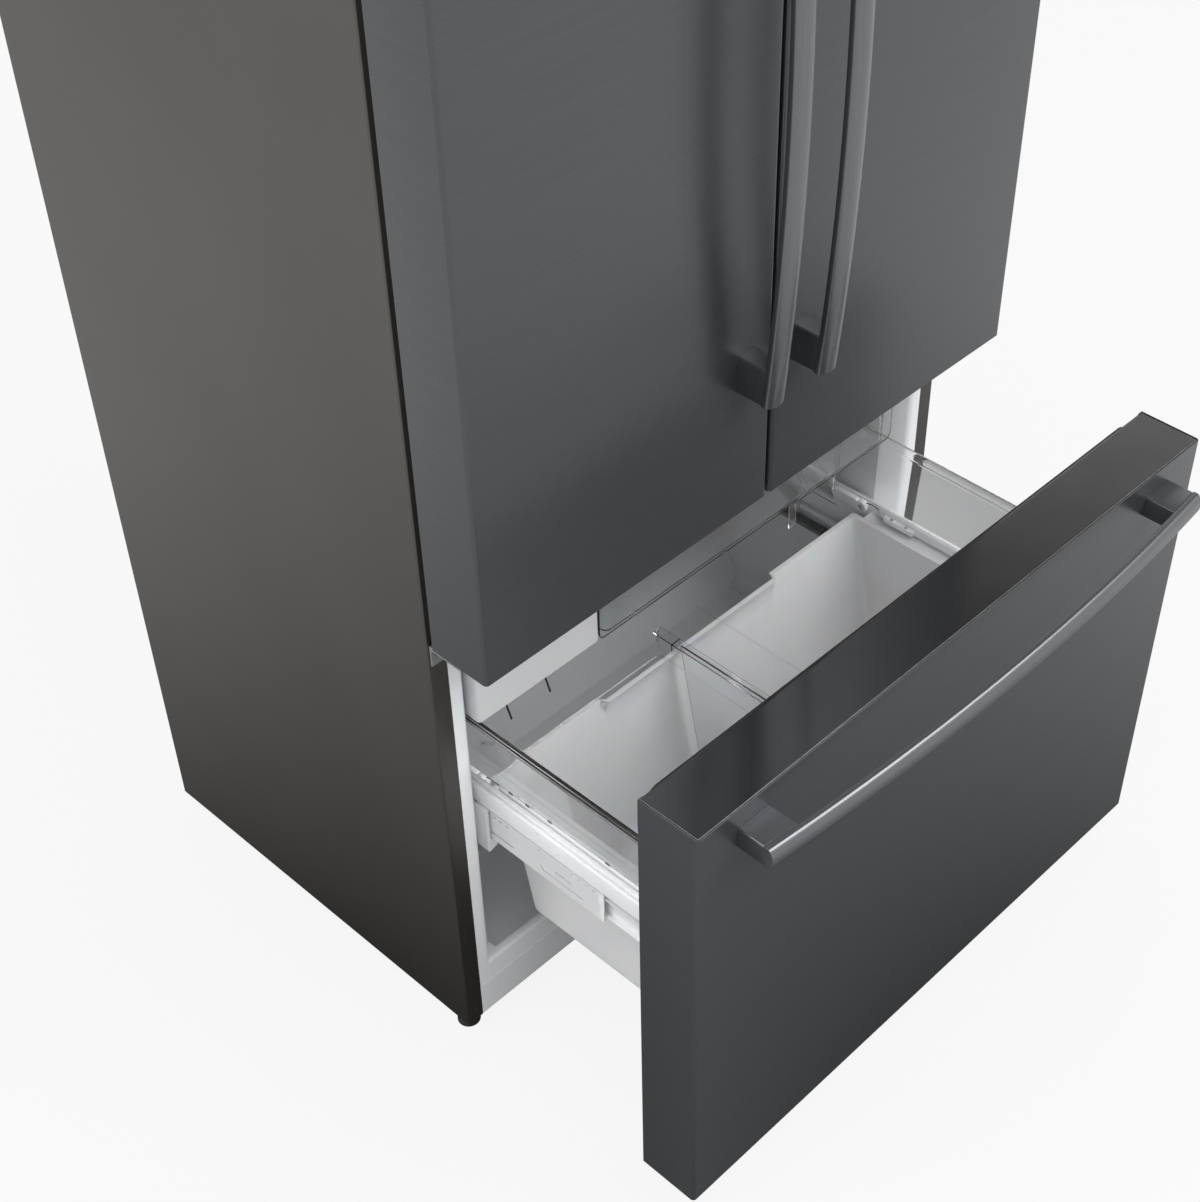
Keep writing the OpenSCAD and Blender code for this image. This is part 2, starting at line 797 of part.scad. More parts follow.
module shelf_frames() {
    side = fridge_half - shelf_in;
    color("#eef0f1") stand() for (i = [0:shelves - 1]) difference() {
        union() {
            upright(shelf_z(i) - shelf_frame_h, shelf_z(i) + glass_t)
                polygon(outline(frame_path([-side, shelf_y], [side, shelf_back], edge_r)));
            across(-side, side)
                polygon(outline(frame_path(
                    [shelf_y - glass_in, shelf_z(i) - shelf_edge_h],
                    [shelf_y + glass_in - seat, shelf_z(i) + glass_t + sheet_t], sheet_t)));
        }
        upright(shelf_z(i) - shelf_frame_h - cut, shelf_z(i) + glass_t + cut)
            polygon(frame_flat(
                [shelf_rim - side, shelf_y + shelf_rim],
                [side - shelf_rim, shelf_back - shelf_rim]));
        upright(shelf_z(i), shelf_z(i) + glass_t + cut)
            polygon(frame_flat(
                [glass_in - seat - side, shelf_y + glass_in - seat],
                [side - glass_in + seat, shelf_back - glass_in + seat]));
    }
}
function frame_flat(low, high) = [[low.x, low.y], [high.x, low.y], [high.x, high.y], [low.x, high.y]];

// An open box with rounded upright corners
module open_box(low, high, wall, r) {
    difference() {
        upright(low.z, high.z) polygon(outline(frame_path(low, high, r)));
        upright(low.z + wall, high.z + cut)
            polygon(outline(frame_path(
                [low.x + wall, low.y + wall], [high.x - wall, high.y - wall], r - wall / 2)));
    }
}
crisper_t = 3;
crisper_round = 12;
crisper_gap = 5;
crisper_back = 24;
crisper_side = 38;
grip_half = 70;
grip_h = 26;
grip_down = 18;
module crisper() {
    low = [crisper_gap, crisper_y, fridge_floor + seat];
    high = [fridge_half - crisper_side, shelf_back - crisper_back, fridge_floor + crisper_h];
    middle = (low.x + high.x) / 2;
    color("#dfe8ea", 0.6) stand() {
        open_box(low, high, crisper_t, crisper_round);
        difference() {
            block(
                [low.x + crisper_round, low.y - crisper_t, low.z + crisper_t],
                [high.x - crisper_round, low.y, high.z]);
            block(
                [middle - grip_half, low.y - crisper_t - cut, high.z - grip_down - grip_h],
                [middle + grip_half, low.y + cut, high.z - grip_down]);
        }
    }
}
module crisper_left() {
    mirror([1, 0, 0]) crisper();
}
module crisper_right() {
    crisper();
}
panel_half = 110;
panel_front = 40;
panel_back = 150;
panel_h = 10;
module control_panel() {
    color("#2c2d2f") stand()
        upright(fridge_top - panel_h, fridge_top - seat)
            polygon(outline(frame_path(
                [-panel_half, panel_front], [panel_half, panel_back], room_r / 2)));
}
lamp_half = 160;
lamp_y = 210;
lamp_w = 26;
lamp_h = 7;
module lights() {
    color("#f6f7f2") stand() for (roof = [fridge_top, freezer_top])
        across(-lamp_half, lamp_half)
            polygon(outline([
                [lamp_y, roof - seat, 0], [lamp_y, roof - lamp_h, lamp_h / 3],
                [lamp_y + lamp_w, roof - lamp_h, lamp_h / 3], [lamp_y + lamp_w, roof - seat, 0]
            ]));
}

// Upper freezer: ice maker, ice bin and clear tray, hung on runners by their edges
tray_y = 10;
tray_t = 3;
tray_front_t = 4;
tray_round = 9;
tray_gap = 5;
tray_body_h = 66;
tray_edge = 7;
runner_t = 2.4;
runner_l = 330;
runner_y = 40;
ice_bin_l = 320;
ice_bin_up = 1;
ice_maker_h = 36;
ice_maker_in = 8;
edge_z = tray_z + tray_body_h - tray_t;
module hung_box(low_x, high_x, low_z, length) {
    body_low = low_x + tray_gap + tray_edge;
    body_high = high_x - tray_gap - tray_edge;
    lengthways(tray_y, tray_y + tray_front_t)
        polygon(outline([
            [low_x + seat, low_z, tray_round], [high_x - seat, low_z, tray_round],
            [high_x - seat, low_z + tray_h, tray_t], [low_x + seat, low_z + tray_h, tray_t]
        ]));
    open_box(
        [body_low, tray_y + tray_front_t - tray_t, low_z], [body_high, tray_y + length, edge_z + tray_t],
        tray_t, tray_round);
    for (place = [body_low - tray_edge, body_high - tray_t])
        block(
            [place, runner_y, edge_z],
            [place + tray_edge + tray_t, tray_y + length - tray_round, edge_z + tray_t]);
}
module upper_tray() {
    length = cover_y - tray_rear - tray_y;
    color("#dfe6e9", 0.5) stand() hung_box(tray_x, freezer_half - tray_gap, tray_z, length);
}
module ice_bin() {
    color("#eceef0") stand() hung_box(tray_gap - freezer_half, tray_x, tray_z - ice_bin_up, ice_bin_l);
}
module tray_runners() {
    low = edge_z - seat - runner_t;
    foot_half = tray_gap + tray_edge - seat;
    color("#dcdfe1") stand() {
        pair() block(
            [freezer_half - 2 * tray_gap - tray_edge + seat, runner_y, low],
            [freezer_half, runner_y + runner_l, low + runner_t]);
        block(
            [tray_x - runner_t / 2, runner_y, low],
            [tray_x + runner_t / 2, runner_y + runner_l, freezer_top]);
        block(
            [tray_x - foot_half, runner_y, low],
            [tray_x + foot_half, runner_y + runner_l, low + runner_t]);
    }
}
module ice_maker() {
    low_x = ice_maker_in - freezer_half;
    high_x = tray_x - ice_maker_in;
    roof = freezer_top - seat;
    color("#d9dcdf") stand() difference() {
        across(low_x, high_x)
            polygon(outline([
                [runner_y + room_r, roof - ice_maker_h, edge_r],
                [runner_y + ice_bin_l - room_r, roof - ice_maker_h, edge_r],
                [runner_y + ice_bin_l - room_r, roof, 0], [runner_y + room_r, roof, 0]
            ]));
        block(
            [low_x + room_r, runner_y + 2 * room_r, roof - ice_maker_h - cut],
            [high_x - room_r, runner_y + ice_bin_l - 2 * room_r, roof - ice_maker_h / 2]);
    }
}

// Telescopic slides: a channel fixed on the liner wall, a middle channel with windows that
// travels inside it, and an inner rail that carries the drawer
channel_low = slide_z - channel_h / 2;
channel_high = slide_z + channel_h / 2;
outer_lip = 14;
channel_in = 7;
track_h = 8.5;
track_w = 6.5;
rail_gap = 0.5;
inner_h = channel_h - 2 * track_h - 2 * rail_gap;
inner_w = 8.5;
leg_t = 2;
slide_front = 28;
holder_front = 7;
holder_back = 26;
channel_l = wall_at(channel_low - seat - rail_t) - slide_gap - slide_front + holder_back;
holder_low = 48;
holder_high = 34;
holder_t = 4.5;
channel_face = freezer_half - channel_in;
leg_face = channel_face - rail_t - track_w - rail_gap - rail_t - leg_t;
window = 4;
window_pitch = 9;
window_down = 7;
latch_slot_l = 34;
latch_slot_h = 5;
latch_step = 7;
middle_share = 0.6;
middle_in = 2;
middle_front = -middle_in - middle_share * drawer_travel;
latch_shares = [0.16, 0.3];
long_slot_shares = [0.5, 0.6];
module slide_outers() {
    low = channel_low - seat - rail_t;
    high = channel_high + seat + rail_t;
    in = freezer_half - outer_lip;
    color("#c3c6c9") stand() pair() {
        lengthways(slide_front, slide_front + channel_l - holder_back)
            polygon([
                [freezer_half, low], [freezer_half, high], [in, high], [in, high - rail_t],
                [freezer_half - rail_t, high - rail_t], [freezer_half - rail_t, low + rail_t],
                [in, low + rail_t], [in, low]
            ]);
        lengthways(-holder_front, slide_front)
            polygon(outline([
                [freezer_half, slide_z - holder_low, 0], [freezer_half, slide_z + holder_high, 0],
                [freezer_half - holder_t, slide_z + holder_high, rail_t],
                [freezer_half - holder_t, slide_z - holder_low, rail_t]
            ]));
    }
}

// Window places along a middle channel, counted from its front
window_count = floor((channel_l - 2 * window_pitch) / window_pitch);
module bent_slot(y) {
    across(channel_face - cut - rail_t, channel_face + cut)
        polygon([
            [y, slide_z - latch_slot_h], [y + latch_slot_l / 2, slide_z - latch_slot_h],
            [y + latch_slot_l / 2 + latch_step, slide_z], [y + latch_slot_l, slide_z],
            [y + latch_slot_l, slide_z + latch_slot_h], [y + latch_slot_l / 2, slide_z + latch_slot_h],
            [y + latch_slot_l / 2 - latch_step, slide_z], [y, slide_z]
        ]);
}
module slide_middles() {
    in = channel_face - rail_t;
    color("#e9ebed") stand() pair() difference() {
        lengthways(middle_front, middle_front + channel_l)
            polygon([
                [channel_face, channel_low], [channel_face, channel_high],
                [in - track_w, channel_high], [in - track_w, channel_high - track_h],
                [in, channel_high - track_h], [in, channel_low + track_h],
                [in - track_w, channel_low + track_h], [in - track_w, channel_low]
            ]);
        for (i = [1:window_count])
            translate([channel_face, middle_front + window_pitch * i, channel_high - window_down])
                block([-rail_t - window, -window / 2, -window / 2], [cut, window / 2, window / 2]);
        for (share = latch_shares)
            bent_slot(middle_front + channel_l * share);
        translate([0, middle_front, slide_z])
            block(
                [in - cut, channel_l * long_slot_shares[0], -latch_slot_h / 2],
                [channel_face + cut, channel_l * long_slot_shares[1], latch_slot_h / 2]);
    }
}
module slide_inners() {
    in = leg_face + leg_t;
    low = slide_z - inner_h / 2;
    high = slide_z + inner_h / 2;
    color("#f1f2f3") stand() pair()
        lengthways(-drawer_back + leg_t, middle_front + channel_l - drawer_travel * (1 - middle_share))
            polygon([
                [in, low], [in + inner_w, low], [in + inner_w, low + rail_t], [in + rail_t, low + rail_t],
                [in + rail_t, high - rail_t], [in + inner_w, high - rail_t], [in + inner_w, high],
                [in, high]
            ]);
}

// Racks on the liner walls and a shaft with a pinion at each end, which keeps the drawer
// square: circular pitch, pitch radius and flank angle as on a standard gear
flank = 20;
tooth_m = tooth_pitch / PI;
tooth_root = 1.2 * tooth_m;
tooth_tip = 0.9 * tooth_m;
rack_z = shaft_z - pitch_r;
rack_w = 14;
rack_t = 6;
pinion_w = 9;
pinion_in = 4;
backlash = 0.35;
function rack_tooth(y) = [
    [y - tooth_pitch / 4 + backlash / 2 - tooth_root * tan(flank), rack_z - tooth_root],
    [y - tooth_pitch / 4 + backlash / 2 + tooth_tip * tan(flank), rack_z + tooth_tip],
    [y + tooth_pitch / 4 - backlash / 2 - tooth_tip * tan(flank), rack_z + tooth_tip],
    [y + tooth_pitch / 4 - backlash / 2 + tooth_root * tan(flank), rack_z - tooth_root]
];
rack_count = ceil((drawer_travel + 2 * pitch_r) / tooth_pitch);
rack_start = shaft_y - 2 * tooth_pitch - tooth_pitch / 2;
module slide_racks() {
    low = rack_z - tooth_root - rack_t;
    end = rack_start + tooth_pitch * (rack_count - 0.5);
    color("#cfd2d4") stand() pair() across(freezer_half - rack_w, freezer_half)
        polygon([
            [rack_start - tooth_pitch / 2, low],
            [rack_start - tooth_pitch / 2, rack_z - tooth_root],
            for (i = [0:rack_count - 1]) each rack_tooth(rack_start + tooth_pitch * i),
            [end, rack_z - tooth_root], [end, low]
        ]);
}

// Involute flank: the point of radius r, turned so that the tooth has its width at the pitch circle
base_r = pitch_r * cos(flank);
function roll(r) = r <= base_r ? 0 : sqrt(r * r / base_r / base_r - 1) * 180 / PI;
function swing(r) = roll(r) - (r <= base_r ? 0 : acos(base_r / r));
half_tooth = (tooth_pitch / 2 - backlash) / 2 / pitch_r * 180 / PI;
flank_steps = 4;
function flank_r(i) = pitch_r - tooth_root + (tooth_root + tooth_tip) * i / flank_steps;
function flank_turn(i) = half_tooth + swing(pitch_r) - swing(flank_r(i));
function polar(r, a) = [r * cos(a), r * sin(a)];
module pinion_plan() {
    polygon([
        for (k = [0:teeth - 1])
            let (middle = 90 + 360 * k / teeth)
                each concat(
                    [for (i = [0:flank_steps]) polar(flank_r(i), middle - flank_turn(i))],
                    [for (i = [flank_steps:-1:0]) polar(flank_r(i), middle + flank_turn(i))])
    ]);
}
module sync_shaft() {
    color("#b4b7ba") stand() {
        translate([0, shaft_y, shaft_z]) rotate([0, 90, 0]) translate([0, 0, pinion_in - freezer_half])
            cylinder(r = shaft_r, h = 2 * (freezer_half - pinion_in));
        pair() translate([freezer_half - pinion_in - pinion_w, shaft_y, shaft_z]) rotate([90, 0, 90])
            linear_extrude(pinion_w) pinion_plan();
    }
}

// Drawer frame: a wide rail each side with a ledge for the bin, a leg down to the slide,
// a roller at its rear and an ear with the shaft's bearing
rim_up = 10;
wide_rail_z = rim_z + rim_up;
wide_rail_w = 12;
wide_rail_h = 29;
rail_clear = 3.6;
function rail_rear_at(z) = wall_at(z) - drawer_travel - rail_clear;
rail_rear = rail_rear_at(wide_rail_z);
ledge_down = 4.4;
ledge_reach = 26;
ear_front = 30;
ear_back = 56;
ear_low = 12;
wheel_y = 35;
wheel_r = 13;
wheel_hole_r = 5;
wheel_w = 8;
module drawer_rails() {
    out = leg_face + leg_t + wide_rail_w;
    color("#f0f1f2") stand() pair() difference() {
        union() {
            lengthways(-drawer_back, rail_rear)
                polygon([
                    [leg_face, slide_z], [leg_face + leg_t, slide_z],
                    [leg_face + leg_t, wide_rail_z - rail_t], [out - rail_t, wide_rail_z - rail_t],
                    [out - rail_t, wide_rail_z - wide_rail_h], [out, wide_rail_z - wide_rail_h],
                    [out, wide_rail_z], [leg_face, wide_rail_z]
                ]);
            block(
                [leg_face, -drawer_back, slide_z - inner_h / 2],
                [leg_face + leg_t, middle_front + channel_l - drawer_travel * (1 - middle_share), slide_z]);
            block(
                [leg_face - ledge_reach, -drawer_back, rim_z - ledge_down - leg_t],
                [leg_face, bin_back - notch - edge_r, rim_z - ledge_down]);
            block(
                [leg_face - leg_t, ear_front, shaft_z - ear_low],
                [leg_face + leg_t, ear_back, rim_z - ledge_down]);
            across(leg_face - wheel_w, leg_face)
                polygon(outline([
                    [wheel_y - wheel_r, rim_z - wheel_r, wheel_r - sheet_t],
                    [rail_rear - wheel_r, rim_z - wheel_r, edge_r],
                    [rail_rear - wheel_r, rim_z + wheel_r / 2, edge_r],
                    [wheel_y, rim_z + wheel_r, edge_r],
                    [wheel_y - wheel_r, rim_z + wheel_r, wheel_r - sheet_t]
                ]));
        }
        across(leg_face - wheel_w - cut, out + cut)
            polygon([
                [rail_rear_at(slide_z - cut), slide_z - cut], [rail_rear + cut, slide_z - cut],
                [rail_rear + cut, wide_rail_z], [rail_rear, wide_rail_z]
            ]);
        translate([leg_face - leg_t - cut, shaft_y, shaft_z]) rotate([0, 90, 0])
            cylinder(r = shaft_r + run, h = 2 * leg_t + 2 * cut);
        translate([leg_face - wheel_w - cut, wheel_y, rim_z]) rotate([0, 90, 0])
            cylinder(r = wheel_hole_r, h = wheel_w + cut);
    }
}
thin_w = 8;
thin_h = 14;
thin_low = 3;
thin_rear = 4;
clip_front = 62;
clip_rear = 11;
clip_w = 7;
clip_h = 9;
screw_r = 2.6;
screw_shares = [0.25, 0.75];
module top_rails() {
    in = leg_face - seat - thin_w;
    color("#f3f4f5") stand() pair() difference() {
        union() {
            lengthways(-drawer_back + seat, thin_rear)
                polygon(outline(frame_path(
                    [in, rim_z + thin_low],
                    [in + thin_w, rim_z + thin_low + thin_h], thin_w / 2 - seat)));
            block(
                [in - clip_w, -clip_front, rim_z + thin_low + leg_t],
                [in + thin_w / 2, -clip_rear, rim_z + thin_low + clip_h]);
        }
        for (share = screw_shares)
            translate([
                in - clip_w / 2, -clip_front + (clip_front - clip_rear) * share,
                rim_z + thin_low + clip_h - leg_t
            ]) cylinder(r = screw_r, h = thin_h);
    }
}

// Bin: leaning back with a step in its middle, rounded bottom edges and a rolled rim
bin_r = 22;
bin_rim_h = 4;
bin_half = leg_face - bin_side;
bin_front = drawer_back - bin_off;
bin_top_half = bin_half - bin_rim_h;
rim_out = 4;
function bin_back_at(z) = bin_back - rim_out - (rim_z - z) * bin_lean_share;
module bin_space(wall) {
    low = bin_z + wall;
    high = rim_z + (wall > 0 ? cut : 0);
    side = bin_top_half - wall;
    front = wall - bin_front;
    intersection() {
        across(-half, half)
            polygon(outline([
                [front, low, bin_r - wall], [bin_back_at(low) - wall, low, bin_r - wall],
                [bin_back_at(high) - wall, high, 0], [front, high, 0]
            ]));
        lengthways(-case_d, case_d)
            polygon(outline([
                [-side, low, bin_r - wall], [side, low, bin_r - wall], [side, high, 0], [-side, high, 0]
            ]));
        upright(0, case_h)
            polygon(outline([
                [-side, front, edge_r], [side, front, edge_r], [side, bin_back - wall, edge_r],
                [notch_half - wall, bin_back - wall, 0],
                [notch_half - wall, bin_back - rim_out - notch - wall, 0],
                [wall - notch_half, bin_back - rim_out - notch - wall, 0],
                [wall - notch_half, bin_back - wall, 0],
                [-side, bin_back - wall, edge_r]
            ]));
    }
}
module freezer_bin() {
    color("#dfe1e3") stand() difference() {
        union() {
            bin_space(0);
            upright(rim_z - bin_rim_h, rim_z)
                polygon(outline([
                    [-bin_half, -bin_front, edge_r], [bin_half, -bin_front, edge_r],
                    [bin_half, bin_back, edge_r],
                    [notch_half, bin_back, sheet_t], [notch_half, bin_back - notch, sheet_t],
                    [-notch_half, bin_back - notch, sheet_t], [-notch_half, bin_back, sheet_t],
                    [-bin_half, bin_back, edge_r]
                ]));
        }
        bin_space(bin_t);
    }
}

// Clear collar on the thin rails: leaning side walls with an outer edge, and a back wall
collar_t = 2.5;
collar_lean = 5;
collar_edge = 12;
collar_lip = 7;
collar_low = rim_z + thin_low + thin_h + seat;
module bin_collar() {
    in = leg_face - seat - collar_t;
    top_in = in + collar_lean;
    shelf = collar_z - collar_lip;
    color("#e4ebee", 0.4) stand() {
        pair() lengthways(-drawer_back + seat, collar_back)
            polygon([
                [in, collar_low], [in + collar_t, collar_low], [top_in + collar_t, shelf - collar_t],
                [top_in + collar_edge, shelf - collar_t], [top_in + collar_edge, collar_z],
                [top_in + collar_edge - collar_t, collar_z], [top_in + collar_edge - collar_t, shelf],
                [top_in, shelf]
            ]);
        across(-in - collar_t, in + collar_t)
            polygon([
                [collar_back - collar_t, collar_low], [collar_back, collar_low],
                [collar_back, shelf], [collar_back - collar_t, shelf]
            ]);
    }
}

// Clear divider that slides across the bin on its rims
divider_w = 15;
divider_t = 2.5;
divider_h = 10;
divider_rear = 60;
hook_h = 16;
hook_reach = 34;
module bin_divider() {
    floor_z = bin_z + bin_t + seat;
    front = bin_t + seat - bin_front;
    color("#e4ebee", 0.4) stand() translate([divider_x, 0, 0]) {
        across(-divider_t / 2, divider_t / 2)
            polygon(outline([
                [front, floor_z, bin_r], [bin_back_at(floor_z) - bin_t - notch - seat, floor_z, bin_r],
                [bin_back_at(rim_z) - bin_t - notch - seat, rim_z + divider_h, 0],
                [front, rim_z + divider_h, 0]
            ]));
        block(
            [-divider_w / 2, front, rim_z + divider_h - divider_t],
            [divider_w / 2, divider_rear, rim_z + divider_h]);
        block(
            [-divider_w / 2, bin_back - notch + seat, rim_z - hook_reach],
            [divider_w / 2, bin_back - notch + seat + divider_t, rim_z + divider_h]);
        block(
            [-divider_t / 2, divider_rear - divider_t, rim_z - hook_h],
            [divider_t / 2, divider_rear, rim_z + divider_h]);
    }
}

// Door and drawer fronts: a folded skin open at the back, end caps, an inner liner on its
// insulation, and a bellows seal
skin_lip = 8;
cap_h = 18;
cap_t = 3;
cap_drop = 0.8;
cap_boss_r = 12;
module skin_plan(x0, x1, front, back) {
    s = sheet_t;
    polygon(outline([
        [x0, back, 0], [x0, front, fold_r], [x1, front, fold_r], [x1, back, 0],
        [x1 - skin_lip, back, 0], [x1 - skin_lip, back - s, 0], [x1 - s, back - s, 0],
        [x1 - s, front + s, fold_r - s], [x0 + s, front + s, fold_r - s], [x0 + s, back - s, 0],
        [x0 + skin_lip, back - s, 0], [x0 + skin_lip, back, 0]
    ]));
}
module cap_plan(x0, x1, front, back, inset) {
    polygon(outline(concat(
        [[x0 + inset, front + inset, fold_r - inset / 2], [x1 - inset, front + inset, fold_r - inset / 2]],
        [[x1 - inset, back - inset, 0], [x0 + inset, back - inset, 0]])));
}
module end_cap(x0, x1, front, back, z, up) {
    gap = sheet_t + seat;
    translate([0, 0, z]) mirror([0, 0, up ? 0 : 1]) difference() {
        upright(-cap_h, -cap_drop) cap_plan(x0, x1, front, back - seat, gap);
        upright(-cap_h - cut, -cap_drop - cap_t) cap_plan(x0, x1, front, back - seat, gap + cap_t);
    }
}
module filled_back(x0, x1, front, back, low, high) {
    gap = sheet_t + seat;
    upright(low + cap_h + seat, high - cap_h - seat)
        polygon(outline([
            [x0 + gap + seat, front + gap, fold_r - gap], [x1 - gap - seat, front + gap, fold_r - gap],
            [x1 - gap - seat, back - gap, 0], [x0 + gap + seat, back - gap, 0]
        ]));
    block([x0 + skin_lip + seat, back - gap, low + seat], [x1 - skin_lip - seat, back, high - seat]);
}
seal_base = 2.2;
seal_neck = 3;
seal_in = 3;
module seal_ring(low, high, y, depth, inset) {
    lengthways(y, y + depth) difference() {
        polygon(outline(frame_path(
            [low.x + inset, low.y + inset], [high.x - inset, high.y - inset], edge_r)));
        polygon(outline(frame_path(
            [low.x + seal_w - inset, low.y + seal_w - inset],
            [high.x - seal_w + inset, high.y - seal_w + inset], edge_r)));
    }
}
module door_seal(low, high, y) {
    color("#1d1d1e") stand() {
        seal_ring(low, high, y, seal_base, 0);
        seal_ring(low, high, y + seal_base, seal_neck, seal_in);
        seal_ring(low, high, y + seal_base + seal_neck, seal_t - seal_base - seal_neck, 0);
    }
}

// Handle: a bowed bar of rounded section on two blocks, drawn along X with its mounts on y = 0
module bar_section(r) {
    nose = bar_t - bar_flat;
    polygon([
        [r, -bar_h / 2], [r + bar_flat, -bar_h / 2],
        for (i = [1:2 * arc_steps - 1])
            [r + bar_flat + nose * sin(90 * i / arc_steps), -bar_h / 2 * cos(90 * i / arc_steps)],
        [r + bar_flat, bar_h / 2], [r, bar_h / 2]
    ]);
}
module handle(length) {
    r = (length * length / 4 + bar_bow * bar_bow) / 2 / bar_bow;
    middle_y = r - bar_stand - bar_bow;
    sweep = asin(length / 2 / r) + 1;
    color("#4b4d50") {
        intersection() {
            translate([0, middle_y, 0]) rotate(-90 - sweep)
                rotate_extrude(angle = 2 * sweep, $fn = bow_fn) bar_section(r);
            block([-length / 2, -bar_reach - cut, -bar_h], [length / 2, 0, bar_h]);
        }
        pair() difference() {
            lengthways(-bar_stand - bar_bow, 0)
                polygon(outline(frame_path(
                    [length / 2 - mount_l, -bar_h / 2 + seat], [length / 2 - seat, bar_h / 2 - seat],
                    bar_flat / 2)));
            translate([0, middle_y, -bar_h]) difference() {
                cylinder(r = r + bar_reach, h = 2 * bar_h, $fn = bow_fn);
                translate([0, 0, -cut]) cylinder(r = r - seat, h = 2 * bar_h + 2 * cut, $fn = bow_fn);
            }
        }
    }
}

// Drawer front
drawer_front = -drawer_back - drawer_t;
plate_side = 14;
plate_half = bin_half - plate_side;
plate_up = 95;
plate_out = 18;
module drawer_skin() {
    color("#4b4d50") stand()
        upright(drawer_z, drawer_top) skin_plan(-door_side, door_side, drawer_front, -drawer_back);
}
module drawer_caps() {
    color("#2d2d2e") stand() {
        end_cap(-door_side, door_side, drawer_front, -drawer_back, drawer_top, true);
        end_cap(-door_side, door_side, drawer_front, -drawer_back, drawer_z, false);
    }
}
module drawer_liner() {
    color("#e6e8ea") stand() {
        filled_back(-door_side, door_side, drawer_front, -drawer_back, drawer_z, drawer_top);
        lengthways(-drawer_back, plate_out - drawer_back)
            polygon(outline(frame_path(
                [-plate_half, drawer_z + plate_up], [plate_half, drawer_top - plate_up / 2], room_r)));
    }
}
module drawer_seal() {
    door_seal([-seal_side, strip_h + edge_r], [seal_side, freezer_top + frame_up - seat], -drawer_back);
}
module drawer_handle() {
    stand() translate([0, drawer_front, drawer_bar_z]) handle(drawer_bar_l);
}

// Doors, drawn on the right and mirrored for the left
door_inset = 0.2;
door_side = half - door_inset;
seal_side = pin_x - seat;
door_edge = centre_gap / 2;
door_front = -door_gap - door_t;
dyke_low_x = 46;
dyke_gap = 5;
dyke_w = 16;
dyke_out = 40;
dyke_in = 6;
dyke_up = 10;
bin_out = 88;
shelf_rest_w = 4;
shelf_rest_h = 6;
door_bin_t = 2.5;
door_bin_first = 60;
dyke_high_x = fridge_half - dyke_gap;
dyke_low_z = fridge_floor + dyke_up;
dyke_high_z = fridge_top - dyke_up;
door_bin_pitch = (dyke_high_z - dyke_low_z - door_bin_first) / door_bins;
function door_bin_z(i) = dyke_low_z + door_bin_first + door_bin_pitch * i;
module door_skin() {
    color("#4b4d50") stand() upright(door_z, door_top)
        skin_plan(door_edge, door_side, door_front, -door_gap);
}
module door_caps() {
    color("#2d2d2e") stand() difference() {
        union() {
            end_cap(door_edge, door_side, door_front, -door_gap, door_top, true);
            end_cap(door_edge, door_side, door_front, -door_gap, door_z, false);
            for (z = [door_z + cap_drop, door_top - cap_h])
                translate([pin_x, -pin_out, z]) cylinder(r = cap_boss_r, h = cap_h - cap_drop);
        }
        for (z = [door_z - cut, door_top - pin_depth - seat])
            translate([pin_x, -pin_out, z]) cylinder(r = pin_r + run, h = pin_depth + seat + cut);
    }
}
module door_liner() {
    color("#e9ebed") stand() {
        difference() {
            union() {
                filled_back(door_edge, door_side, door_front, -door_gap, door_z, door_top);
                lengthways(-door_gap - dyke_in, dyke_out)
                    polygon(outline(frame_path(
                        [dyke_low_x, dyke_low_z], [dyke_high_x, dyke_high_z], room_r / 2)));
            }
            lengthways(-door_gap - dyke_in, dyke_out + cut)
                polygon(outline(frame_path(
                    [dyke_low_x + dyke_w, dyke_low_z + dyke_w],
                    [dyke_high_x - dyke_w, dyke_high_z - dyke_w], room_r / 2)));
        }
        for (i = [0:door_bins - 1], x = [dyke_low_x + dyke_w, dyke_high_x - dyke_w - shelf_rest_w])
            block(
                [x, -door_gap - dyke_in, door_bin_z(i) - shelf_rest_h],
                [x + shelf_rest_w, dyke_out - shelf_rest_w, door_bin_z(i)]);
    }
}
module right_door_seal() {
    door_seal([door_edge + skin_lip, door_z + edge_r], [seal_side, door_top - seal_w], -door_gap);
}
module door_bin_set() {
    color("#dfe8ea", 0.6) stand() for (i = [0:door_bins - 1])
        open_box(
            [dyke_low_x + dyke_w + seat, -door_gap - dyke_in + seat, door_bin_z(i)],
            [dyke_high_x - dyke_w - seat, bin_out, door_bin_z(i) + door_bin_h],
            door_bin_t, crisper_round);
}
module door_handle(side) {
    length = door_top - door_z - 2 * door_bar_up;
    stand() translate([side * door_bar_x, door_front, (door_top + door_z) / 2]) rotate([0, 90, 0])
        handle(length);
}
module right_door_skin() {
    door_skin();
}
module right_door_caps() {
    door_caps();
}
module right_door_bins() {
    door_bin_set();
}
module right_door_handle() {
    door_handle(1);
}
module left_door_skin() {
    mirror([1, 0, 0]) door_skin();
}
module left_door_caps() {
    mirror([1, 0, 0]) door_caps();
}
module left_door_seal() {
    mirror([1, 0, 0]) right_door_seal();
}
module left_door_bins() {
    mirror([1, 0, 0]) door_bin_set();
}
module left_door_handle() {
    door_handle(-1);
}
module right_door_liner() {
    door_liner();
}

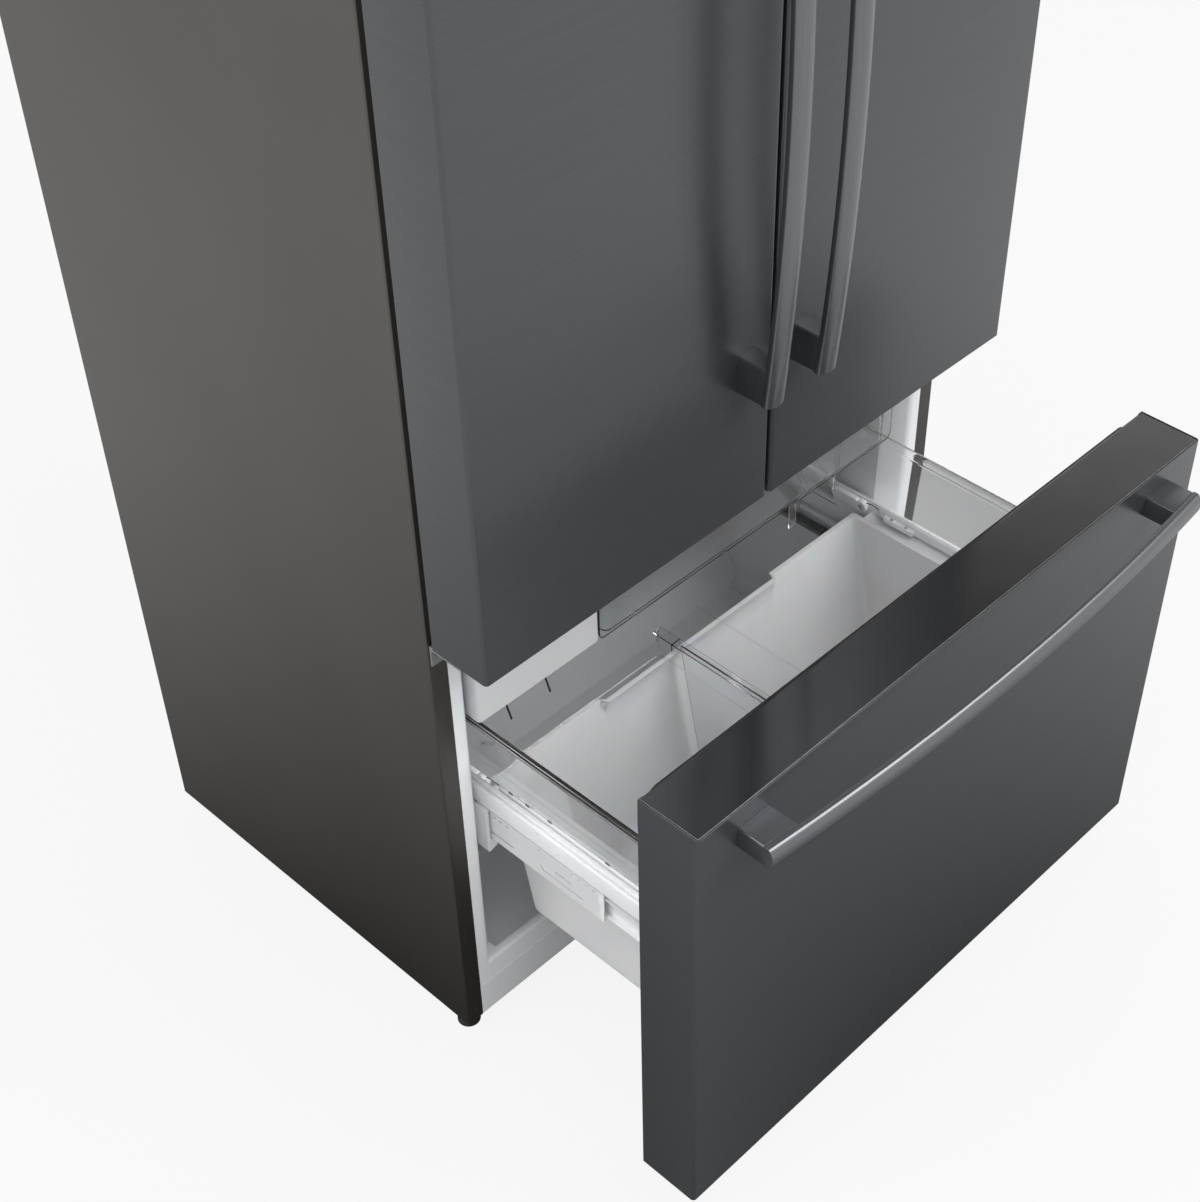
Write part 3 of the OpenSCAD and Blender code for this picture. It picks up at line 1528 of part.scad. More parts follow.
// Hinged centre post on the left door, folded back, with its pins in two ears
post_x = -34;
post_y = 9;
post_t = 16;
post_w = 60;
post_knuckle_r = 6;
post_pin_r = 2.5;
post_pin_h = 8;
post_ear_h = 10;
post_ear_up = 4;
post_low = dyke_low_z + post_ear_up + post_ear_h + seat;
post_high = dyke_high_z - post_ear_up - post_ear_h - seat;
module left_door_liner() {
    mirror([1, 0, 0]) door_liner();
    color("#e9ebed") stand() difference() {
        for (z = [post_low - seat - post_ear_h, post_high + seat])
            block(
                [-dyke_low_x - dyke_w / 2, post_y - post_knuckle_r, z],
                [post_x + post_knuckle_r, post_y + post_knuckle_r, z + post_ear_h]);
        translate([post_x, post_y, 0]) cylinder(r = post_pin_r + run, h = case_h);
    }
}
module mullion() {
    color("#d8dadc") stand() {
        upright(post_low, post_high)
            polygon(outline([
                [post_x - post_t / 2, post_y + leg_t, 2 * sheet_t],
                [post_x + post_t / 2, post_y + leg_t, 2 * sheet_t],
                [post_x + post_t / 2, post_y + leg_t + post_w, 2 * sheet_t],
                [post_x - post_t / 2, post_y + leg_t + post_w, 2 * sheet_t]
            ]));
        translate([post_x, post_y, post_low]) cylinder(r = post_knuckle_r, h = post_high - post_low);
        translate([post_x, post_y, post_low - post_pin_h])
            cylinder(r = post_pin_r, h = post_high - post_low + 2 * post_pin_h);
    }
}

outer_case();
back_panel();
base_pan();
cabinet_foam();
fridge_liner();
freezer_liner();
front_rail();
base_strip();
door_hinges();
hinge_covers();
foot_left();
foot_right();
rear_rollers();
compressor();
condenser();
condenser_fan();
machine_cover();
evaporator();
evaporator_fan();
evaporator_cover();
air_duct();
glass_shelves();
shelf_frames();
crisper_left();
crisper_right();
control_panel();
lights();
ice_maker();
ice_bin();
tray_runners();
upper_tray();
slide_outers();
slide_racks();
slide_middles();
slide_inners();
sync_shaft();
drawer_rails();
top_rails();
freezer_bin();
bin_collar();
bin_divider();
drawer_skin();
drawer_caps();
drawer_liner();
drawer_seal();
drawer_handle();
left_door_skin();
left_door_caps();
left_door_liner();
left_door_seal();
left_door_handle();
left_door_bins();
right_door_skin();
right_door_caps();
right_door_liner();
right_door_seal();
right_door_handle();
right_door_bins();
mullion();
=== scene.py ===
# %% [markdown]
# # A refrigerator with a bottom freezer drawer
#
# This lesson gives an exact but bare model of a kitchen refrigerator its looks. The pieces come
# from the CAD stage, in metres and in place: the steel cabinet, two doors, the freezer drawer
# with its bin, the slides, and the machinery. The camera, the floor and the lamps come first.
# Then each finish is mixed once and handed out. Last come the forms that a solid modeller draws
# too plainly, such as bowed handle bars, folded sheet edges and moulded clear walls.

# %% Load the frame
import math

import bpy
import numpy as np
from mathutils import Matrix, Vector
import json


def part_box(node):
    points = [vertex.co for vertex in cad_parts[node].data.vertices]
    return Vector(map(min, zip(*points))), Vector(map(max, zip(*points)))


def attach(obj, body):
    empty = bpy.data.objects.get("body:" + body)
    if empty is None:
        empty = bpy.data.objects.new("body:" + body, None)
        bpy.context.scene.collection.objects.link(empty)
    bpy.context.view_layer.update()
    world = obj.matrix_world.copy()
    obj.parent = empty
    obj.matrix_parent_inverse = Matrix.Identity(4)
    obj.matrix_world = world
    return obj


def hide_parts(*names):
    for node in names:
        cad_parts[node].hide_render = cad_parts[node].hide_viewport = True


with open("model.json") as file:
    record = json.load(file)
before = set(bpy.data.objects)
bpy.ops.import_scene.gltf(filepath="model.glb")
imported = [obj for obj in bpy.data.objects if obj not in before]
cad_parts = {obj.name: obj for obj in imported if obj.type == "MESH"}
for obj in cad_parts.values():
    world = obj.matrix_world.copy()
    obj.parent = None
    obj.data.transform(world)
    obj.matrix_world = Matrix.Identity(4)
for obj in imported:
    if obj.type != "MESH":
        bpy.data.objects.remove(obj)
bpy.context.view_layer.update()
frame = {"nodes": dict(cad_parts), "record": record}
nodes = frame["nodes"]
print("pieces from the CAD stage:", len(nodes))

# %% [markdown]
# ## The camera
#
# The picture to compare with was taken from above left with a long lens. The camera was found
# by lining up corners of the cabinet, the doors and the drawer. A small lens shift stands for
# the picture's crop.

# %% Set the camera
eye = bpy.data.cameras.new("picture_camera")
eye.lens, eye.sensor_width = 61.72, 36.0
eye.shift_x, eye.shift_y = -0.0597, 0.0572
eye.clip_start, eye.clip_end = 0.05, 60
camera = bpy.data.objects.new("picture_camera", eye)
camera.location = (-1.4623, -1.3891, 2.2286)
camera.rotation_euler = [math.radians(a) for a in (46.359, 0, -46.686)]
bpy.context.collection.objects.link(camera)
bpy.context.scene.camera = camera
bpy.context.scene.view_settings.view_transform = "Standard"
print("camera at", tuple(camera.location))

# %% [markdown]
# ## Building a finish from nodes
#
# Every finish is a Principled shader with a few pattern nodes in front of it. The main pattern
# is a noise whose spots have a real size in metres and can be drawn out along an axis, as
# brushing does to steel. It reads Object coordinates, so it stays fixed to the piece.

# %% Helpers for node trees
def feed(tree, node, *values, **named):
    """Sets numbers on a node's sockets, by place or by name, and links outputs to them."""
    pairs = list(zip(node.inputs, values))
    pairs += [(node.inputs[name.replace("_", " ")], value) for name, value in named.items()]
    for socket, value in pairs:
        if isinstance(value, bpy.types.NodeSocket):
            tree.links.new(value, socket)
        else:
            socket.default_value = value
    return node


def add(tree, kind, *values, operation="", **named):
    """A new node of a kind with its sockets fed."""
    made = tree.nodes.new("ShaderNode" + kind)
    if operation:
        made.operation = operation
    return feed(tree, made, *values, **named)


def spots(tree, size, along=(1, 1, 1), detail=3.0):
    """Noise from 0 to 1: a spot measures `size` metres, times `along` on each axis."""
    place = add(tree, "TexCoord").outputs["Object"]
    scale = [1 / (size * a) for a in along]
    spread = add(tree, "Mapping", Vector=place, Scale=scale).outputs["Vector"]
    return add(tree, "TexNoise", Vector=spread, Scale=1.0, Detail=detail).outputs["Fac"]


def between(tree, pattern, low, high, start=0.3, stop=0.7):
    """A pattern turned into numbers that run from low to high."""
    return add(tree, "MapRange", pattern, start, stop, low, high).outputs["Result"]


def shades(tree, pattern, dark, light, start=0.3, stop=0.7):
    """A pattern turned into colours from dark to light."""
    ramp = add(tree, "ValToRGB", pattern)
    for element, place, colour in zip(ramp.color_ramp.elements, (start, stop), (dark, light)):
        element.position, element.color = place, (*colour, 1)
    return ramp.outputs["Color"]


look = {}


def dress(material, names):
    """Gives CAD nodes a material, in every slot of their objects, and remembers it."""
    for name in names.split():
        piece = nodes[name]
        if not piece.material_slots:
            piece.data.materials.append(material)
        for slot in piece.material_slots:
            slot.material = material
        look[name] = material
    print(material.name, "on", len(names.split()), "nodes")


def finish(name, dark, light, rough, on="", metal=0.0, size=0.02, along=(1, 1, 1), relief=0.0,
           fine=0.02, **more):
    """A material for the nodes named in `on`. Its colour runs from dark to light over spots of
    `size` metres, drawn out by `along`. A noise of `fine` metres varies the roughness between
    the two numbers of `rough` and raises the surface by `relief` metres. Further names are
    sockets of the shader."""
    made = bpy.data.materials.new(name)
    made.use_nodes = True
    tree = made.node_tree
    shader = tree.nodes["Principled BSDF"]
    close = spots(tree, fine, along, 4.0)
    feed(tree, shader, Base_Color=shades(tree, spots(tree, size, along), dark, light),
         Roughness=between(tree, close, *rough), Metallic=metal, **more)
    if relief:
        bump = add(tree, "Bump", Height=close, Distance=relief, Strength=1.0)
        feed(tree, shader, Normal=bump.outputs["Normal"])
    dress(made, on)
    return made


# %% [markdown]
# ## The studio
#
# The object stands on a plain white floor before a plain white ground. Both are simply white to
# the camera and through clear parts, at a strength of 1, so the light on the object can stay at
# a plain level. Reflections see the same white near the horizon, and see it dimmed straight
# above and on the floor near the object. A studio does that with black cards, so that dark
# metal shows a soft run from light to dark. A share of the floor is matt white and takes the
# shadow.

# %% Floor
near_glow, overhead_glow = 0.04, 0.08
floor_reach, matt_grey, white_share = 9.0, 0.42, 0.88
floor_mesh = bpy.data.meshes.new("studio_floor")
corners = np.array([(-1, -1, 0), (1, -1, 0), (1, 1, 0), (-1, 1, 0)]) * floor_reach
floor_mesh.from_pydata(corners.tolist(), [], [(0, 1, 2, 3)])
studio_floor = bpy.data.objects.new("studio_floor", floor_mesh)
bpy.context.collection.objects.link(studio_floor)


def combine(tree, operation, first, *others):
    """Outputs and numbers joined one after another by a Math operation."""
    for other in others:
        first = add(tree, "Math", first, other, operation=operation).outputs[0]
    return first


def rays(tree, *kinds):
    """1 for a ray of one of these kinds, such as Camera or Glossy, else 0."""
    path = add(tree, "LightPath").outputs
    return combine(tree, "MAXIMUM", *[path[f"Is {kind} Ray"] for kind in kinds])


floor_look = bpy.data.materials.new("studio_white")
floor_look.use_nodes = True
tree = floor_look.node_tree
tree.nodes.remove(tree.nodes["Principled BSDF"])
away = add(tree, "VectorMath", add(tree, "TexCoord").outputs["Object"], operation="LENGTH")
fall = between(tree, away.outputs["Value"], near_glow, 1.0, 0.48, 1.7)
mirrored = rays(tree, "Glossy")
plain = between(tree, mirrored, 1.0, 0.0, 0, 1)
matt = add(tree, "BsdfDiffuse", Color=(matt_grey, matt_grey, matt_grey, 1))
glow = add(tree, "Emission", Color=(1, 1, 1, 1),
           Strength=combine(tree, "ADD", plain, combine(tree, "MULTIPLY", mirrored, fall)))
seen = combine(tree, "MULTIPLY", rays(tree, "Camera", "Glossy", "Transmission"), white_share)
blend = add(tree, "MixShader", seen, matt.outputs[0], glow.outputs[0])
feed(tree, tree.nodes["Material Output"], Surface=blend.outputs[0])
floor_mesh.materials.append(floor_look)

# %% World
world = bpy.data.worlds.new("studio_world")
world.use_nodes = True
bpy.context.scene.world = world
tree = world.node_tree
fill_level = 1.05
height = add(tree, "SeparateXYZ", add(tree, "TexCoord").outputs["Generated"]).outputs["Z"]
sky = between(tree, height, 1.0, overhead_glow, 0.56, 0.68)
mirrored = rays(tree, "Glossy")
shown = rays(tree, "Camera", "Transmission")
hidden = between(tree, combine(tree, "ADD", mirrored, shown), fill_level, 0.0, 0, 1)
reflected = combine(tree, "MULTIPLY", mirrored, sky)
feed(tree, tree.nodes["Background"], Color=(1, 1, 1, 1),
     Strength=combine(tree, "ADD", reflected, shown, hidden))
print("fill light from the world:", fill_level)

# %% [markdown]
# ## The lamps
#
# The main soft lamp hangs high in front and to the right, and makes the tops of the doors
# lighter than their foot. A second stands left of the cabinet's side, and a small one looks
# down into the open drawer.

# %% Lamps
def softbox(name, place, target, size, power):
    """A square area lamp at a place, turned towards a target. Its -Z axis is its beam."""
    lamp = bpy.data.lights.new(name, "AREA")
    lamp.energy, lamp.size = power, size
    stand = bpy.data.objects.new(name, lamp)
    stand.location = place
    beam = Vector(target) - Vector(place)
    stand.rotation_euler = beam.to_track_quat("-Z", "Y").to_euler()
    bpy.context.collection.objects.link(stand)


softbox("key_softbox", (1.6, -2.6, 3.6), (0, -0.3, 0.9), 2.4, 105)
softbox("side_softbox", (-2.2, 0.6, 3.3), (-0.45, 0.2, 1.5), 1.6, 34)
softbox("drawer_softbox", (-0.6, -0.9, 3.1), (0, -0.4, 0.5), 1.2, 11)

# %% [markdown]
# ## Black stainless steel
#
# The fronts and the handles are stainless steel with a dark, smoky coat, which keeps the metal
# from mirroring. Brushing leaves fine lines across the sheet, so the noise is drawn out ninety
# times along the width, and the roughness differs a little from line to line. Bars are brushed
# along their length, so their lines are turned.

# %% Black steel
brushed = 90
steel_grain = dict(size=0.0022, fine=0.0006)
# The bars are the same coated steel as the fronts; their lighter colour is a painted highlight for
# the sheen along a bar.
bar = ((0.150, 0.155, 0.162), (0.165, 0.170, 0.178), (0.27, 0.30))
finish("black_steel", (0.079, 0.083, 0.088), (0.087, 0.091, 0.096), (0.27, 0.33),
       "left_door_skin right_door_skin drawer_skin", metal=0.7, along=(brushed, brushed, 1),
       relief=0.000004, **steel_grain)
finish("upright_steel", *bar, "left_door_handle right_door_handle", metal=0.85,
       along=(1, 1, brushed), relief=0.000001, **steel_grain)
finish("level_steel", *bar, "drawer_handle", metal=0.85, along=(brushed, 1, 1),
       relief=0.000001, **steel_grain)

# %% [markdown]
# ## Painted cabinet
#
# The side panels are sheet steel under a warm grey paint. A noise of a millimetre and a half
# gives its fine pebble, and a much broader one lets the tone wander a little, as on any large
# sheet.

# %% Cabinet paint
finish("case_paint", (0.098, 0.092, 0.086), (0.110, 0.104, 0.098), (0.38, 0.46), "outer_case",
       metal=0.9, size=0.35, relief=0.000015, fine=0.0015)
rail_paint = finish("rail_paint", (0.020, 0.018, 0.016), (0.034, 0.030, 0.027), (0.45, 0.6),
                    "front_rail", metal=0.1, relief=0.00004, fine=0.0012)

# %% [markdown]
# ## Galvanised and coated sheet
#
# The back is zinc-coated steel. Molten zinc freezes in flat crystals, which a Voronoi pattern
# shows well: each cell gets its own grey and roughness. The pan under the machinery is the same
# sheet with a black dip coat.

# %% Back steel and pan steel
back_steel = bpy.data.materials.new("back_steel")
back_steel.use_nodes = True
tree = back_steel.node_tree
place = add(tree, "TexCoord").outputs["Object"]
crystal = add(tree, "TexVoronoi", Vector=place, Scale=80.0).outputs["Color"]
spangle = add(tree, "RGBToBW", crystal).outputs[0]
feed(tree, tree.nodes["Principled BSDF"], Metallic=0.9,
     Base_Color=shades(tree, spangle, (0.30, 0.31, 0.32), (0.42, 0.43, 0.44), 0.1, 0.9),
     Roughness=between(tree, spangle, 0.36, 0.52, 0.1, 0.9))
dress(back_steel, "back_panel")
finish("pan_steel", (0.018, 0.018, 0.018), (0.032, 0.032, 0.032), (0.4, 0.55),
       "base_pan machine_cover", metal=0.2, size=0.03, relief=0.00005, fine=0.002)

# %% [markdown]
# ## White liners and trim
#
# A liner is a sheet of white plastic drawn into a mould by vacuum. It has a soft gloss, and its
# thickness wanders slightly, which shows as slow waves in reflections. Moulded white parts are
# a touch brighter and glossier. The bin lets a little light into its walls. The slides are
# steel with a white coat.

# %% White plastics
finish("liner_white", (0.84, 0.85, 0.86), (0.88, 0.89, 0.90), (0.30, 0.42),
       "fridge_liner freezer_liner left_door_liner right_door_liner drawer_liner mullion",
       size=0.25, relief=0.00002, fine=0.004)
finish("strip_white", (0.78, 0.79, 0.80), (0.83, 0.84, 0.85), (0.38, 0.46), "base_strip",
       size=0.12, relief=0.00002, fine=0.01)
finish("part_white", (0.84, 0.85, 0.86), (0.89, 0.90, 0.91), (0.32, 0.345),
       "evaporator_cover air_duct shelf_frames ice_maker", size=0.06)
slide_white = finish("slide_white", (0.85, 0.86, 0.87), (0.90, 0.91, 0.92), (0.27, 0.295),
                     "tray_runners drawer_rails top_rails", size=0.05)
finish("coat_white", (0.82, 0.83, 0.84), (0.87, 0.88, 0.89), (0.31, 0.335),
       "slide_outers slide_middles slide_inners", metal=0.2, size=0.03, along=(1, 8, 1))
finish("lamp_white", (0.82, 0.82, 0.80), (0.88, 0.88, 0.86), (0.5, 0.6), "lights",
       relief=0.00001, fine=0.0006)
# The bin's white is set greyer than the liners', which paints part of the shade inside the drawer.
finish("bin_white", (0.73, 0.74, 0.75), (0.77, 0.78, 0.79), (0.28, 0.305),
       "freezer_bin ice_bin", size=0.12, Subsurface_Weight=0.3, Subsurface_Scale=0.004)
finish("rack_grey", (0.20, 0.203, 0.206), (0.25, 0.253, 0.256), (0.36, 0.42), "slide_racks",
       size=0.03, fine=0.01)

# %% [markdown]
# ## Clear plastic and shelf glass
#
# Bins, the collar and the trays are clear styrene: it bends light like glass and looks grey
# only where many walls lie behind each other. Faint flow waves from the mould keep it from
# looking like optical glass. Seen along the sheet, an edge looks nearly black, and that shade
# is painted on a few edges with a near-black finish of their own. The shelves are tempered
# glass with a slight green.

# %% Clear finishes, painted edge shade, and cut edges with a painted highlight
clear_plastic = finish("clear_plastic", (0.93, 0.94, 0.945), (0.97, 0.975, 0.98), (0.03, 0.07),
                       "bin_collar bin_divider upper_tray crisper_left crisper_right "
                       "left_door_bins right_door_bins", size=0.2, relief=0.00002, fine=0.012,
                       Transmission_Weight=1.0, IOR=1.49)
finish("shelf_glass", (0.86, 0.93, 0.90), (0.90, 0.96, 0.93), (0.01, 0.03), "glass_shelves",
       size=0.2, Transmission_Weight=1.0, IOR=1.52)
# Near-black finish: painted shade for the dark look of a clear sheet's edge seen along it.
painted_edge_shade = finish("painted_edge_shade", (0.010, 0.011, 0.011), (0.016, 0.017, 0.017), (0.06, 0.12),
                   fine=0.004)
# Light steel: the bare cut edge of a sheet, and also a painted highlight along a cap's edge.
cut_steel_and_highlight = finish("cut_steel_and_highlight", (0.34, 0.345, 0.35), (0.42, 0.425, 0.43), (0.30, 0.40),
                   metal=0.9, size=0.01, fine=0.002)

# %% [markdown]
# ## Dark plastics, rubber and zinc
#
# The caps at the doors' ends and over the hinges are dark plastic with a metallic lacquer that
# matches the steel. The seals are soft black rubber, dull and a little dusty. The shaft between
# the slides is zinc-plated steel. The compressor has a thick glossy paint, and the coils are
# wire and fins.

# %% Dark and grey finishes
finish("cap_black", (0.118, 0.119, 0.121), (0.128, 0.129, 0.131), (0.14, 0.18),
       "left_door_caps right_door_caps drawer_caps hinge_covers", metal=1.0, size=0.05,
       relief=0.000001, fine=0.0007)
# The same black rubber finish also lies on the air slots as painted shade.
rubber_black = finish("rubber_black", (0.012, 0.012, 0.012), (0.022, 0.022, 0.022), (0.6, 0.8),
                      "left_door_seal right_door_seal drawer_seal foot_left foot_right "
                      "rear_rollers", size=0.01, relief=0.00004, fine=0.0006)
finish("hinge_grey", (0.26, 0.265, 0.27), (0.33, 0.335, 0.34), (0.38, 0.5), "door_hinges",
       metal=0.7, size=0.01, relief=0.00003, fine=0.0008)
slide_steel = finish("slide_steel", (0.55, 0.555, 0.56), (0.64, 0.645, 0.65), (0.24, 0.36),
                     "sync_shaft", metal=0.85, size=0.002, along=(1, 60, 1), relief=0.00001,
                     fine=0.0006)
finish("motor_black", (0.010, 0.010, 0.010), (0.018, 0.018, 0.018), (0.22, 0.34), "compressor",
       relief=0.00008, fine=0.0025)
finish("coil_black", (0.014, 0.014, 0.014), (0.026, 0.026, 0.026), (0.4, 0.55), "condenser",
       metal=0.1, size=0.01, relief=0.00004, fine=0.001)
fan_grey = finish("fan_grey", (0.10, 0.10, 0.105), (0.14, 0.14, 0.145), (0.4, 0.5),
                  "condenser_fan evaporator_fan", relief=0.00002, fine=0.0008)
finish("coil_aluminium", (0.60, 0.61, 0.62), (0.70, 0.71, 0.72), (0.3, 0.45), "evaporator",
       metal=0.9, size=0.003, along=(40, 1, 1), relief=0.00002, fine=0.0008)
finish("panel_black", (0.014, 0.014, 0.015), (0.020, 0.020, 0.022), (0.08, 0.16),
       "control_panel", size=0.05, fine=0.001)

# %% [markdown]
# ## Insulation
#
# Between the steel and the liners the cabinet is filled with rigid foam. It is hidden in use,
# but it is a real piece, so it gets its pale straw colour and its fine open cells.

# %% Foam
finish("foam", (0.62, 0.54, 0.33), (0.70, 0.62, 0.41), (0.75, 0.9), "cabinet_foam", size=0.01,
       relief=0.0003, fine=0.0015)
print("nodes without a finish:", sorted(set(nodes) - set(look)))

# %% [markdown]
# ## From numbers to a surface
#
# The pieces that follow are drawn as grids of points. One direction runs round a profile, the
# other along a path or from one height to the next. Lengths are in millimetres from the
# cabinet's front plane and the foot of its side panels, as a fitter would measure. They become
# metres in the frame when a piece is made.

# %% Outlines and grids
import bmesh

case_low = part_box("outer_case")[0]
front_and_foot = np.array([0, case_low.y, case_low.z])
bodies = frame["record"]["behaviour"]["bodies"]
body_of_node = {name: body for body, names in bodies.items() for name in names}


def limits(node):
    """The low and high corner of a CAD node in millimetres of the cabinet."""
    return [(np.array(corner) - front_and_foot) * 1000 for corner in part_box(node)]


def grid_faces(rows, columns, closed=False):
    """Four-sided faces between neighbours of a grid whose columns close on themselves, and
    whose rows do too if it is `closed`."""
    number = np.arange(rows * columns).reshape(rows, columns)
    number = np.hstack([number, number[:, :1]])
    if closed:
        number = np.vstack([number, number[:1]])
    corners = [number[:-1, :-1], number[1:, :-1], number[1:, 1:], number[:-1, 1:]]
    return np.stack(corners, -1).reshape(-1, 4).tolist()


def loft(rings):
    """A tube through rings of equally many points: point (i, j) is point j of ring i. Both ends
    are closed by one face each."""
    rings = np.asarray(rings, float)
    rows, columns = rings.shape[:2]
    ends = [list(range(columns)), list(range((rows - 1) * columns, rows * columns))]
    return rings.reshape(-1, 3), grid_faces(rows, columns) + ends


def rounded(corners, radius, steps=8):
    """An outline with rounded corners. At each corner the centre lies on the bisector at
    radius / sin(half angle), and the arc runs between the two points of contact."""
    corner = np.asarray(corners, float)
    radius = np.broadcast_to(np.asarray(radius, float), len(corner))[:, None]
    back = np.roll(corner, 1, 0) - corner
    on = np.roll(corner, -1, 0) - corner
    back /= np.linalg.norm(back, axis=1)[:, None]
    on /= np.linalg.norm(on, axis=1)[:, None]
    half = np.arccos(np.clip((back * on).sum(1), -1, 1))[:, None] / 2
    bisector = (back + on) / np.linalg.norm(back + on, axis=1)[:, None]
    centre = corner + bisector * radius / np.sin(half)
    start = corner + back * radius / np.tan(half) - centre
    stop = corner + on * radius / np.tan(half) - centre
    turn = np.pi - 2 * half[:, :, None]
    t = np.linspace(0, 1, steps + 1)[None, :, None]
    arcs = np.sin((1 - t) * turn) * start[:, None] + np.sin(t * turn) * stop[:, None]
    return (centre[:, None] + arcs / np.sin(turn)).reshape(-1, 2)


def rectangle(low, high):
    """The four corners of a rectangle, anticlockwise."""
    return [(low[0], low[1]), (high[0], low[1]), (high[0], high[1]), (low[0], high[1])]


def soft_rectangle(low, high, radius, steps=8):
    """A rectangle with rounded corners."""
    return rounded(rectangle(low, high), radius, steps)


def stack(plan, places, axis=2):
    """Rings: a flat outline repeated at each place along an axis. Its two numbers are the
    other two coordinates."""
    plan, places = np.asarray(plan, float), np.asarray(places, float)
    rings = np.empty((len(places), len(plan), 3))
    rings[:, :, [a for a in range(3) if a != axis]] = plan
    rings[:, :, axis] = places[:, None]
    return rings


def circle(radius, steps, centre=(0, 0)):
    """Points evenly round a circle."""
    turn = np.linspace(0, 2 * np.pi, steps, endpoint=False)
    return np.column_stack([centre[0] + radius * np.cos(turn), centre[1] + radius * np.sin(turn)])


def slab(low, high):
    """A plain box, for edges and webs. Its corners are softened by the object's bevel."""
    return loft(stack(rectangle(low, high), [low[2], high[2]]))


def both_sides(shells):
    """The shells and their mirror images across the middle of the cabinet."""
    return shells + [(points * [-1, 1, 1], faces) for points, faces in shells]


# %% [markdown]
# A copy of a CAD node is also freed of its loose triangles, so that a bevel runs along whole
# edges.

# %% Setting up pieces
merge_reach = 2e-6


def set_up(name, mesh, node, material, body, angle, bevel):
    """A finished object from a mesh. Edges sharper than `angle` degrees stay sharp, and
    `bevel` softens them by that many millimetres."""
    work = bmesh.new()
    work.from_mesh(mesh)
    bmesh.ops.remove_doubles(work, verts=work.verts, dist=merge_reach)
    bmesh.ops.dissolve_degenerate(work, edges=work.edges, dist=1e-6)
    bmesh.ops.recalc_face_normals(work, faces=work.faces)
    work.to_mesh(mesh)
    work.free()
    mesh.materials.clear()
    mesh.materials.append(material or look[node])
    mesh.polygons.foreach_set("use_smooth", np.ones(len(mesh.polygons), bool))
    mesh.set_sharp_from_angle(angle=math.radians(angle))
    made = bpy.data.objects.new(name, mesh)
    bpy.context.collection.objects.link(made)
    if bevel:
        soften = made.modifiers.new("soft_edges", "BEVEL")
        soften.width, soften.segments = bevel / 1000, 2
        soften.limit_method, soften.angle_limit = "ANGLE", math.radians(angle)
        soften.harden_normals = True
    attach(made, body or body_of_node[node])
    if node:
        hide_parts(node)
    print(name, len(mesh.polygons), "faces")


def make(name, shells, node=None, material=None, body=None, angle=40, bevel=0.0):
    """One object from shells in millimetres. It stands for a node and takes its finish and
    body, or it is an extra piece with a material and a body of its own."""
    points = np.concatenate([p for p, _ in shells]) / 1000 + front_and_foot
    starts = np.cumsum([0] + [len(p) for p, _ in shells])
    faces = [[v + s for v in f] for (_, shell), s in zip(shells, starts) for f in shell]
    mesh = bpy.data.meshes.new(name)
    mesh.from_pydata(points.tolist(), [], faces)
    set_up(name, mesh, node, material, body, angle, bevel)


def merged(mesh):
    """A mesh as a bmesh, with doubles merged and flat areas joined into one face each."""
    work = bmesh.new()
    work.from_mesh(mesh)
    bmesh.ops.remove_doubles(work, verts=work.verts, dist=merge_reach)
    bmesh.ops.dissolve_limit(work, angle_limit=math.radians(0.5), verts=work.verts,
                             edges=work.edges)
    return work


def softened(node, bevel, angle=30):
    """A merged copy of a CAD node with its sharp edges bevelled."""
    mesh = nodes[node].data.copy()
    work = merged(mesh)
    work.to_mesh(mesh)
    work.free()
    set_up(node + "_soft", mesh, node, None, None, angle, bevel)


# %% [markdown]
# ## Door and drawer fronts
#
# Each front is one sheet, folded back round both sides and a short way in again behind. The
# folds are 5 mm round, so the light rolls over them in a thin bright line. The sheet is open at
# its top and foot. Its outline is one closed line, carried straight up.

# %% Folded skins
sheet, fold, lip = 1.2, 5.0, 8.0


def skin_outline(x0, x1, front, back):
    """Both faces of the folded sheet: out along the lip, round the front, and back inside."""
    in0, in1, near, far = x0 + sheet, x1 - sheet, front + sheet, back - sheet
    corners = [(x0, back), (x0, front), (x1, front), (x1, back), (x1 - lip, back),
               (x1 - lip, far), (in1, far), (in1, near), (in0, near), (in0, far),
               (x0 + lip, far), (x0 + lip, back)]
    inner, cut = fold - sheet, 0.25
    radii = [0.9, fold, fold, 0.9, cut, cut, 0.3, inner, inner, 0.3, cut, cut]
    return rounded(corners, radii, 10)


for node in ["left_door_skin", "right_door_skin", "drawer_skin"]:
    low, high = limits(node)
    plan = skin_outline(low[0], high[0], low[1], high[1])
    make(node + "_sheet", [loft(stack(plan, np.linspace(low[2], high[2], 9)))], node,
         angle=32, bevel=0.15)

# %% [markdown]
# A little below the sheet's edge lies a cap of dark plastic with a finely rounded edge. Two
# fine light beads run round it: the bare steel of the sheet's cut edge, and a painted highlight
# on the line where the cap meets the sheet.

# %% Caps in the fronts
cap_depth, cap_drop, cap_gap, cap_edge = 18.0, 0.8, 1.6, 0.5


def cap(low, high, edge_z, up):
    """A lid as rings from its skirt over a quarter-round edge to its middle. `up` is 1 or -1."""
    turn = np.linspace(0, np.pi / 2, 5)
    inset = np.concatenate([[0.0, 0.0], cap_edge * (1 - np.cos(turn)), [3.0, 12.0, 25.0]])
    drop = np.concatenate([[cap_depth, 6.0], cap_edge * (1 - np.sin(turn)), [0.0, 0.0, 0.0]])
    rings = []
    for d, h in zip(inset, drop):
        near, far = low[:2] + cap_gap + d, (high[0] - cap_gap - d, high[1] - 0.3 - d)
        plan = soft_rectangle(near, far, [max(fold - 0.8 - d * 0.3, 1.0)] * 2 + [1.0] * 2, 6)
        rings.append(stack(plan, [edge_z - up * (cap_drop + h)])[0])
    return loft(rings)


